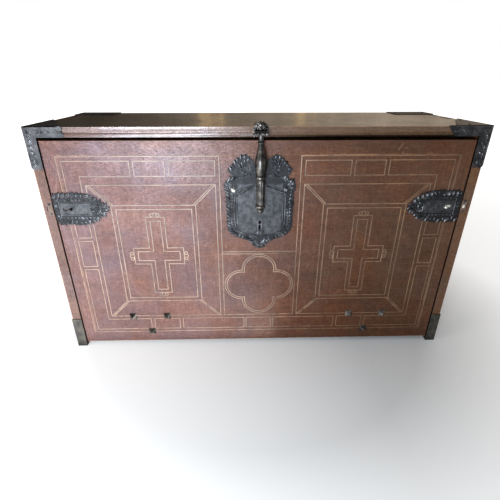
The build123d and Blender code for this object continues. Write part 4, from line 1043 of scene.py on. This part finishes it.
def nails_of(node, name, pick=lambda middle: True):
    """The forged nails that take the place of a node's plain ones."""
    seats = [(tip - way * NAIL_HEAD, way) for middle, tip, way in seats_of(node) if pick(middle)]
    mesh = bpy.data.meshes.new(name)
    mesh.from_pydata([tuple(seat) for seat, _ in seats], [], [])
    out = mesh.attributes.new("out", "FLOAT_VECTOR", "POINT")
    for n, (_, way) in enumerate(seats):
        out.data[n].vector = way
    carrier = link(bpy.data.objects.new(name, mesh))
    values = {"Nail": NAIL, "Smallest": 0.94, "Largest": 1.0, "Spin": 6.28, "Seed": 4}
    mesh = settled(carrier, SET_OF_NAILS, Finish=BLACK_IRON, **values)
    return place(name, mesh, None, nodes[node]["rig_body"], (node,), 30)


STUD_X, STUD_Z = 63, 465  # the two studs of the lock plate stand where plain nails would
nails_of("case_nails", "forged_case_nails")
nails_of("front_nails", "forged_front_nails", lambda middle: abs(abs(middle.x) - STUD_X * MM) > 0.002)

STUD_PROFILE = [
    (1.1, -12.0), (1.15, -0.1), (5.9, 0.0), (6.0, 0.9), (5.2, 1.2),
    (5.1, 2.0), (4.7, 3.4), (3.7, 4.7), (2.2, 5.6), (0.3, 6.0),
]
# The left stud is the pale copy and the right one the dull: a painted highlight on the left.
for hand, finish, name in ((-1, BRIGHT_IRON, "bright_stud"), (1, CHASED_IRON, "dull_stud")):
    mesh = turned_at(STUD_PROFILE, 28, "X", hand * STUD_X, IRON_FACE, STUD_Z)
    place(name, mesh, finish, "fall_front")


# ---- chased work on the irons
def leaves(runs, leaf, pitch, lean=0.0, play=0.3, sizes=(0.8, 1.15), closed=False):
    """Leaves a pitch apart, in millimetres; play is how far their lean may change."""
    values = {"Leaf": leaf, "Pitch": pitch * MM, "Lean": lean, "Play": play}
    return LEAF_BORDER, runs, closed, values | {"Smallest": sizes[0], "Largest": sizes[1]}


def cord(runs, radius, closed=False):
    values = {"Radius": radius * MM, "Step": 2.0 * MM, "Unevenness": 0.3, "Sides": 6}
    return RAISED_LINE, runs, closed, values


def chased(name, body, parts, finish, y=IRON_FACE):
    """Cords and leaves on one plate, joined into one piece."""
    meshes = []
    for seed, (tree, runs, closed, values) in enumerate(parts, 3):
        carrier = polyline([seen_from_front(run, y) for run in runs], closed)
        meshes.append(settled(carrier, tree, Finish=finish, Seed=seed, **values))
    return place(name, one_mesh(meshes), finish, body, degrees=50)


# ---- lock plate
LOCK_LEFT = [
    (0, LOCK_FOOT), (-8, 312), (-15, 319), (-22, 328), (-34, 335), (-50, 340), (-66, 346),
    (-79, 360), (-81, 383), (-80, 405), (-82, 430), (-80, 452), (-85, 468), (-85, 479),
    (-80, 487), (-70, 489), (-64, 494),
]
CREST_LEFT = [
    (-70, 503), (-76, 512), (-68, 519), (-61, 530), (-51, 540), (-40, 547), (-30, 544),
    (-21, 537), (-14, 527), (-11, 516), (-9, 506),
]
lock_line = LOCK_LEFT + CREST_LEFT
lock_edge = cusped(rounded(lock_line + mirrored(lock_line[1:]), True), 10.5, 3.4, 0.8)
slot_hole = [(-3.5, 432), (3.5, 432), (3.5, 457), (-3.5, 457)]
keyhole_arc = [math.radians(-39 - n * 282 / 14) for n in range(15)]
keyhole = [(3.6 * math.sin(a), KEYHOLE_Z - 3.6 * math.cos(a)) for a in keyhole_arc]
keyhole = [(-2.25, 362), *keyhole, (2.25, 362)]
mesh = moved(flat_iron(lock_edge, [slot_hole, keyhole]), y=FRONT_Y)
place("lock_plate_sheet", mesh, LOCK_SHEET, "fall_front", ("lock_plate",), 12)

edge_run = rounded(drawn_in(LOCK_LEFT[1:], 0.915, 317, 0.965))
crest_run = rounded([(-66, 505), (-69, 512), (-62, 521), (-55, 532), (-45, 540), (-36, 541)])
curl_run = rounded(drawn_in(LOCK_LEFT[2:], 0.835, 324, 0.925))
bead_run = drawn_in(LOCK_LEFT[5:10], 0.86, 328, 0.90)
crest_curls = [(-18, 508), (-26, 516), (-34, 522), (-44, 528)]
vein = rounded([(-24, 500), (-34, 504), (-45, 512), (-46, 522), (-38, 531), (-28, 534)])
inner_run = [(-61, 447), (-62, 420), (-62, 380), (-57, 362), (-40, 353), (-20, 347), (-6, 341)]
brow = [[(-63, 449), (-40, 458), (-16, 468)], [(-65, 459), (-42, 468), (-17, 477)]]
scrolls = [spiral(-30, 519, 9, 2.5, 1.1, 2.2, -1, 24), spiral(-70, 478, 8, 2.5, 1.0, 0.4, 1, 20)]
drip = [[(-4, 352), (4, 352)], [(-10, 326), (-3, 320), (4, 321), (11, 327)]]
chased(
    "lock_plate_chasing",
    "fall_front",
    [
        leaves([edge_run], CROCKET, 8.8, -0.7, 0.8, (0.45, 1.05)),
        leaves([mirrored(edge_run)], BACK_CROCKET, 8.8, -2.44, 0.8, (0.45, 1.05)),
        leaves([crest_run], CROCKET, 7.6, -0.9, 0.9, (0.4, 0.9)),
        leaves([mirrored(crest_run)], BACK_CROCKET, 7.6, -2.24, 0.9, (0.4, 0.9)),
        leaves([vein], SMALL_CROCKET, 7.0, -0.5),
        leaves([mirrored(vein)], SMALL_BACK_CROCKET, 7.0, -2.64),
        leaves(both([curl_run, crest_curls]), CURL, 8.0, 0.0, 3.1, (0.7, 1.15)),
        leaves(both([bead_run]), BEAD_LEAF, 5.0),
        cord(both([rounded(inner_run)]), 1.3),
        cord(both([[(-56, 446), (-56, 378)]]), 1.2),
        cord(both(brow), 1.1),
        leaves(both([[(-60, 455), (-40, 463), (-17, 472)]]), SMALL_CROCKET, 6.2, 0.5),
        cord(both(scrolls), 1.2),
        cord(both([[(-20, 505), (-30, 500), (-44, 495), (-58, 494)]]), 1.2),
        cord([ring_of(0, KEYHOLE_Z, 6.2)], 1.4, True),
        cord([[(-4.6, 377), (-4.4, 360), (0, 357.5), (4.4, 360), (4.6, 377)]], 1.1),
        leaves(drip, CROCKET, 6.0),
    ],
    LOCK_CHASED,
)

# ---- slide latches
# The right keeper end is pale: rubbed metal and a painted highlight.
for hand, side, finish in ((-1, "left", RUSTED_IRON), (1, "right", BRIGHT_IRON)):
    outline = [(hand * x, z) for x, z in ((502.5, 415), (502.5, 423), (507.5, 423), (507.5, 415))]
    mesh = moved(flat_iron(outline, thickness=0.8, rim=0.2), y=IRON_FACE)
    place(f"keeper_end_{side}", mesh, finish, "case")

LATCH_END_X = 497.3
lower = [
    (497.2, 381), (480, 379), (462, 381), (444, 378), (426, 380), (410, 384), (398, 390),
    (389, 398), (381, 405), (375, 410), (370, 415), (366.5, LATCH_Z),
]
latch_line = lower + [(x, 2 * LATCH_Z - z) for x, z in reversed(lower[:-1])]
knob_slot = [(454, 415.5), (475, 415.5), (475, 422.5), (454, 422.5)]
upper_leaves = [(380, 431), (391, 440), (405, 447), (422, 451), (445, 452), (470, 451), (492, 450)]
lower_leaves = [(492, 388), (470, 387), (445, 386), (422, 387), (405, 391), (391, 398), (380, 407)]
curls = [
    [(396, 441), (486, 441)], [(486, 397), (396, 397)],
    [(384, 424), (386, 410)], [(490, 402), (490, 436)],
]
for hand, side in ((-1, "left"), (1, "right")):
    edge = cusped(rounded(on_side(hand, latch_line), True), 11.5, 4.2, -0.8 * hand)
    edge = [(hand * min(abs(x), LATCH_END_X), z) for x, z in edge]
    mesh = moved(flat_iron(edge, [[(hand * x, z) for x, z in knob_slot]]), y=FRONT_Y)
    latch_plate = f"{side}_latch_plate"
    place(f"{side}_latch_sheet", mesh, LATCH_SHEET, "fall_front", (latch_plate,), 12)
    forward, back = (CROCKET, 10.0, -0.9), (BACK_CROCKET, 10.0, -2.24)
    upper_kind, lower_kind = (back, forward) if hand > 0 else (forward, back)
    chased(
        f"{side}_latch_chasing",
        "fall_front",
        [
            leaves([on_side(hand, upper_leaves)], *upper_kind, 0.85, (0.45, 1.05)),
            leaves([on_side(hand, lower_leaves)], *lower_kind, 0.85, (0.45, 1.05)),
            leaves([on_side(hand, run) for run in curls], CURL, 8.2, 0.0, 3.1, (0.7, 1.15)),
            leaves([on_side(hand, [(376, 412), (372, 419), (376, 426)])], CROCKET, 7.0, -1.57),
            cord([on_side(hand, [(412, z), (482, z)]) for z in (433, 405)], 1.1),
            cord(
                [
                    spiral(hand * 398, LATCH_Z, 10, 3, 1.2, 0.0, hand),
                    on_side(hand, [(483, 398), (483, 440)]),
                ],
                1.2,
            ),
            leaves([ring_of(hand * 398, LATCH_Z, 12)], SMALL_CROCKET, 6.5, -0.5, closed=True),
        ],
        LATCH_CHASED,
    )

# ---- corner irons
RAIL_ENDS = {-1: (441, 437, 441, 436, 440), 1: (423, 427, 431, 437, 441)}
ARM_END = [(499, 586), (499, 520), (505, 513), (512, 517), (518, 512), (525, 519)]
LID_PLATE = [
    (525, IRON_FACE), (449, IRON_FACE), (447, -150), (456, -128),
    (470, -108), (487, -70), (506, -38), (525, -9.25),
]
CHEEK = [
    (FRONT_Y, 518), (FRONT_Y, TOP_Z), (-84.25, TOP_Z), (-80, 590),
    (-86, 570), (-84.25, 545), (-92, 526), (-110, 518),
]
# The left corner iron gets the lit copies of its finishes, the right one the shaded copies: painted
# light and shade.
for hand, side, sheet, chasing in (
    (-1, "left", LIT_CORNER_IRON, CHASED_IRON),
    (1, "right", SHADED_CORNER_IRON, SHADED_CORNER_CHASING),
):
    rail_end = list(zip(RAIL_ENDS[hand], (610, 604, 598, 592, 586)))
    face = [(525, 610), *rail_end, *ARM_END]
    mesh = one_mesh(
        [
            moved(flat_iron([(hand * x, z) for x, z in face], rim=0.25), y=FRONT_Y),
            moved(lying(flat_iron([(hand * x, y) for x, y in LID_PLATE], rim=0.25)), z=TOP_Z),
            moved(sideways(flat_iron(CHEEK, rim=0.25), hand), x=hand * SIDE_X),
        ]
    )
    node = f"top_{side}_corner_iron"
    place(f"top_{side}_iron", mesh, sheet, "case", (node,), 12)
    chased(
        f"top_{side}_iron_chasing",
        "case",
        [
            cord([on_side(hand, running_scroll((448, 598), (520, 598), 24, 9))], 1.1),
            leaves([on_side(hand, [(448, 598), (518, 598)])], CURL, 10.5, 0.0, 3.1, (0.9, 1.4)),
            leaves([on_side(hand, [(512, 590), (512, 524)])], CURL, 11.0, 0.0, 3.1, (0.9, 1.4)),
            cord([on_side(hand, running_scroll((512, 588), (512, 522), 24, 9))], 1.1),
            leaves([on_side(hand, [(516, 586), (516, 524)])], SMALL_CROCKET, 10.0, -0.5),
            cord(
                [
                    on_side(hand, [(443, 607.5), (523, 607.5)]),
                    on_side(hand, [(522.5, 606), (522.5, 524)]),
                ],
                1.0,
            ),
        ],
        chasing,
    )


# ---- hasp
def shank_ribs(angle, height):
    """Two raised edges down the front of the shank, in millimetres."""
    if not (432 < height < 493):
        return 0.0
    out = 0.0
    for rib in (-QUARTER_TURN - 0.42, -QUARTER_TURN + 0.42):
        near = abs((angle - rib + math.pi) % WHOLE_TURN - math.pi)
        out += 0.9 * max(0.0, 1 - near / 0.16)
    return min(out, 1.9)


HASP_KNOB = [
    (0.4, 408.9), (3.6, 409.4), (6.4, 411.3), (8.2, 414.2), (8.7, 417.5), (8.3, 420.6),
    (6.6, 423.2), (5.6, 424.2), (8.6, 425.0), (11.6, 426.4), (12.2, 428.0), (12.1, 430.4),
    (10.6, 432.2), (9.5, 433.2),
]
SHANK_RADII = [9.4, 9.5, 9.5, 9.6, 9.7, 9.7, 9.8, 9.8, 9.8, 9.7, 9.7, 9.6]
HASP_NECK = [
    (9.4, 492.6), (10.6, 493.6), (12.0, 495.4), (12.2, 498.0), (12.0, 500.4), (10.8, 502.2),
    (9.6, 503.2), (9.8, 505.0), (11.0, 508.0), (12.6, 512.0), (13.6, 517.0), (13.95, 523.0),
    (13.85, 529.0), (13.3, 536.0), (12.0, 544.0), (10.2, 552.0), (8.4, 560.0), (7.0, 567.0),
    (6.3, 573.0), (7.6, 575.0), (7.8, 576.6), (6.4, 578.4), (5.9, 582.0), (5.9, 588.0), (5.6, 593.0),
]
shank = [(r, 434.0 + (491.0 - 434.0) * n / 11) for n, r in enumerate(SHANK_RADII)]
half_barrel = [(6.2, 3.0), (6.5, 6.0), (6.3, 8.6), (5.2, 9.7), (3.0, 9.8)]
barrel = [*[(r, -z) for r, z in reversed(half_barrel)], (6.0, 0.0), *half_barrel]
bm = turned(HASP_KNOB + shank + HASP_NECK, 72, swell=shank_ribs, y=HASP_Y)
bm.from_mesh(turned_at(barrel, 32, "Y", 0, HASP_Y, HASP_Z))
place("turned_hasp", to_mesh(bm), HASP_IRON, "hasp", ("hasp",), 32)

# ---- hasp's bracket and rosette
rosette_edge = cusped(ring_of(0, ROSETTE_Z, 16.6, 90), 9.0, 2.0, 0.0, 0.6)
eyes = [ring_of(8.5, ROSETTE_Z, 3.0, 16), ring_of(-8.5, ROSETTE_Z, 3.0, 16)]
tail = [(-15.5, -159.2), (-15.5, -118), (-12, -108), (-6, -104)]
tail = [*tail, (0, -98), *mirrored(tail)]
slab = [(-15.5, 586.2), (-15.5, 610), (15.5, 610), (15.5, 586.2)]
parts = [
    moved(flat_iron(rosette_edge, eyes, ROSETTE_THICK, 0.9, 2), y=IRON_FACE),
    moved(lying(flat_iron(tail, rim=0.4)), z=TOP_Z),
    moved(flat_iron(slab, rim=0.3), y=FRONT_Y),
]
EAR_THICK = 4.5
for hand in (-1, 1):
    ear_line = [p for p in ring_of(HASP_Y, HASP_Z, 6.5, 24) if p[0] < HASP_Y + 4]
    ear_line += [(-161.3, 601.4), (-161.3, 588.6)]
    ear_line.sort(key=lambda p: math.atan2(p[1] - HASP_Z, p[0] + 172))
    ear = flat_iron(ear_line, [ring_of(HASP_Y, HASP_Z, 2.6, 14)], EAR_THICK, 0.6, 2)
    parts.append(moved(sideways(ear, 1), x=hand * 12.65 - EAR_THICK / 2))
for x, z, r, h in (
    (0, 612, 5.0, 2.6),
    (0, ROSETTE_Z, 3.6, 1.6),
    (-13.2, 611, 2.6, 1.5),
    (13.2, 611, 2.6, 1.5),
):
    boss = [(r, -0.5), (r, h * 0.2), (r * 0.9, h * 0.55), (r * 0.6, h * 0.85), (0.3, h)]
    parts.append(turned_at(boss, 20, "X", x, IRON_FACE - ROSETTE_THICK, z))
place("hasp_rosette", one_mesh(parts), HASP_IRON, "case", ("hasp_bracket",), 32)
petals = [list(reversed(ring_of(0, ROSETTE_Z, 10.9, 40)))]
chased(
    "rosette_chasing",
    "case",
    [
        cord([ring_of(8.5, ROSETTE_Z, 4.1, 16), ring_of(-8.5, ROSETTE_Z, 4.1, 16)], 1.0, True),
        leaves(petals, SMALL_CROCKET, 6.2, -0.5, closed=True),
    ],
    HASP_IRON,
    IRON_FACE - ROSETTE_THICK,
)

# ---- everything else keeps its shape
# The right latch bolt is pale: rubbed metal and a painted highlight.
SPECIAL = {"latch_keepers": RUSTED_IRON, "right_latch_bolt": BRIGHT_IRON, "hinge_nails": PYRAMID_IRON}
SPECIAL |= {f"bottom_{side}_corner_iron": FOOT_IRON for side in ("left", "right")}
for node in sorted(nodes):
    if nodes[node].hide_render:
        continue
    if node.startswith(("drawer", "gallery", "cupboard")):
        low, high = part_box(node)
        place_in_log = (low.x, low.z, low.y)
        box = (tuple(low), tuple(high))
        finish = walnut(f"{node}_walnut", INSIDE_WALNUT, *box, ALONG_X, place_in_log)
        reshaped(node, f"{node}_made", finish, 0.0006)
    else:
        reshaped(node, f"{node}_forged", SPECIAL.get(node, BLACK_IRON), 0.0004)


# ---- strings on drawers and door
def face_of(node):
    """Depth and box of the largest flat face that looks to the front, in millimetres."""
    mesh = nodes[node].data
    levels = {}
    for face in mesh.polygons:
        if face.normal.y < -0.99:
            levels.setdefault(round(face.center.y / MM, 1), []).append(face)
    y = max(levels, key=lambda level: sum(face.area for face in levels[level]))
    spots = [mesh.vertices[v].co / MM for face in levels[y] for v in face.vertices]
    xs, zs = [p.x for p in spots], [p.z for p in spots]
    return y, min(xs), max(xs), min(zs), max(zs)


def add_frame(bm, corners, y, width):
    """A mitred strip laid along a closed loop of (x, z) corners that run clockwise."""
    middle = Vector((sum(x for x, z in corners), sum(z for x, z in corners))) / len(corners)
    count = len(corners)
    outer, inner = [], []
    for n, (x, z) in enumerate(corners):
        before = (Vector(corners[n]) - Vector(corners[n - 1])).normalized()
        after = (Vector(corners[(n + 1) % count]) - Vector(corners[n])).normalized()
        inward = (after - before).normalized()
        inward = inward if inward.dot(middle - Vector((x, z))) > 0 else -inward
        half = max(0.2, abs(inward.x * before.y - inward.y * before.x))
        q = Vector((x, z)) + inward * width / half
        outer.append(bm.verts.new(Vector((x, y - 0.22, z)) * MM))
        inner.append(bm.verts.new(Vector((q.x, y - 0.22, q.y)) * MM))
    for n in range(count):
        m = (n + 1) % count
        face = bm.faces.new((outer[n], outer[m], inner[m], inner[n]))
        face.normal_update()
        if face.normal.y > 0:
            face.normal_flip()


WIDE_FRONT = 260  # a wider drawer has two diamonds
for node in sorted(nodes):
    if not node.startswith(("drawer", "cupboard")):
        continue
    y, x0, x1, z0, z1 = face_of(node)
    parts = {"pale": bmesh.new(), "dark": bmesh.new()}
    levels = {"pale": y - 0.06, "dark": y}
    for kind, inset, width in (("dark", 4.2, 3.0), ("pale", 5.0, 1.4), ("pale", 9.5, 0.8)):
        a, b, c, d = x0 + inset, x1 - inset, z0 + inset, z1 - inset
        add_frame(parts[kind], [(a, c), (a, d), (b, d), (b, c)], levels[kind], width)
    halves = 2 if x1 - x0 > WIDE_FRONT else 1
    for n in range(halves):
        cx, cz = x0 + (x1 - x0) * (n + 0.5) / halves, (z0 + z1) / 2
        rx, rz = (x1 - x0) / halves / 2 - 17, (z1 - z0) / 2 - 17
        for kind, grow, width in (("dark", 0.8, 3.2), ("pale", 0.0, 1.4)):
            across, tall = rx + grow, rz + grow
            diamond = [(cx - across, cz), (cx, cz + tall), (cx + across, cz), (cx, cz - tall)]
            add_frame(parts[kind], diamond, levels[kind], width)
    body = nodes[node]["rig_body"]
    place(f"{node}_pale_string", to_mesh(parts["pale"]), INSIDE_STRING, body)
    place(f"{node}_dark_string", to_mesh(parts["dark"]), DARK_LINE, body)

for shape in (CROCKET, BACK_CROCKET, SMALL_CROCKET, SMALL_BACK_CROCKET, CURL, BEAD_LEAF, NAIL):
    bpy.data.objects.remove(shape)

# ---- floor, light and camera
bm = bmesh.new()
bmesh.ops.create_circle(bm, cap_ends=True, radius=40.0, segments=96)
floor = link(bpy.data.objects.new("studio_floor", to_mesh(bm, "studio_floor")))
floor_finish, surface, at = new_finish("pale_floor")
away = put(at.tree, "ShaderNodeVectorMath", {0: at}, "Value", operation="LENGTH")
# The floor glows brighter away from the chest and, as painted light, towards the left.
fade = away.between(0.50, 0.95, 0.0, 0.62) + away.between(0.95, 4.0, 0.0, 0.50)
fade = fade + xyz(at)[0].between(0.3, -0.6, 0.0, 0.45)
glow = put(at.tree, "ShaderNodeEmission", {"Color": (1, 1, 1, 1), "Strength": fade})
mixed = put(at.tree, "ShaderNodeAddShader", {0: Out(surface), 1: glow})
fill(surface, {"Base Color": (0.80, 0.80, 0.79, 1), "Roughness": 0.9})
fill(at.tree.nodes["Material Output"], {"Surface": mixed})
floor.data.materials.append(floor_finish)
floor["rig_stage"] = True

# The dark room behind the chest, with the warm strips that the polished top gives back.
STRIPS = (
    (-0.100, 0.008, 0.7), (-0.084, 0.006, 0.9), (-0.066, 0.004, 0.7),
    (-0.050, 0.005, 1.0), (0.157, 0.013, 0.7), (0.192, 0.006, 0.35),
)
world = bpy.data.worlds.new("studio")
scene.world = world
world.use_nodes = True
sky = world.node_tree
side, depth, up = xyz(put(sky, "ShaderNodeTexCoord", {}, "Generated"))
share = depth.between(0.35, -0.6).most(up.between(0.25, 0.9))
behind = tint(side.between(-0.35, 0.36), (0.05, 0.045, 0.035), (0.62, 0.50, 0.38))
sideways_only = put(sky, "ShaderNodeCombineXYZ", {0: side})
uneven_room = clouds(sideways_only, 24.0, 4, 0.6).between(0.35, 0.65, 0.78, 1.22)
behind = vectors("SCALE", behind, uneven_room, 3)
for middle_x, half, strength in STRIPS:
    strip = abs(side - middle_x).between(half, half * 0.4, 0.0, strength)
    behind = tint(strip, behind, (1.35, 0.92, 0.46))
room = tint(share, behind, (0.20, 0.20, 0.21))
seen = tint(put(sky, "ShaderNodeLightPath", {}, "Is Camera Ray"), room, (1, 1, 1))
fill(sky.nodes["Background"], {"Color": seen, "Strength": 1.0})


def soft_light(name, place_at, aim_at, width, height, power, colour):
    lamp = bpy.data.lights.new(name, "AREA")
    lamp.shape = "RECTANGLE"
    lamp.size, lamp.size_y = width, height
    lamp.energy = power
    lamp.color = colour
    obj = link(bpy.data.objects.new(name, lamp))
    obj.location = place_at
    obj.rotation_mode = "QUATERNION"
    obj.rotation_quaternion = (Vector(aim_at) - Vector(place_at)).to_track_quat("-Z", "Y")
    obj.visible_camera = False


SOFTBOX_AT, SOFTBOX_AIM = (-0.75, -0.86, 0.004), (-0.75, -0.86, 1.0)
WINDOW_AT, WINDOW_AIM = (-0.56, -1.78, 0.33), (-0.28, -0.16, 0.50)
KEY_AT, KEY_AIM = (-1.40, -0.85, 0.80), (-0.15, -0.12, 0.30)
soft_light("floor_softbox", SOFTBOX_AT, SOFTBOX_AIM, 1.6, 1.36, 22.5, (0.97, 0.97, 1.0))
soft_light("low_window", WINDOW_AT, WINDOW_AIM, 0.68, 0.48, 46, (0.78, 0.90, 1.0))
soft_light("key_left", KEY_AT, KEY_AIM, 0.7, 0.9, 8, (1.0, 0.97, 0.95))
soft_light("ceiling", (0.1, -0.6, 2.7), (0, 0, 0.3), 2.0, 1.6, 4, (1.0, 0.96, 0.90))

camera_data = bpy.data.cameras.new("camera")
camera_data.sensor_width = 36.0
camera_data.lens = 25.704
camera_data.clip_start = 0.01
camera_data.clip_end = 200.0
camera = link(bpy.data.objects.new("camera", camera_data))
view = Matrix.Translation((-0.04492, -0.9916, 0.70645))
for degrees, axis in ((-1.43, "Z"), (64.196, "X"), (0.018, "Z")):
    view = view @ Matrix.Rotation(math.radians(degrees), 4, axis)
camera.matrix_world = view
scene.camera = camera
scene.view_settings.view_transform = "Standard"

low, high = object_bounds()
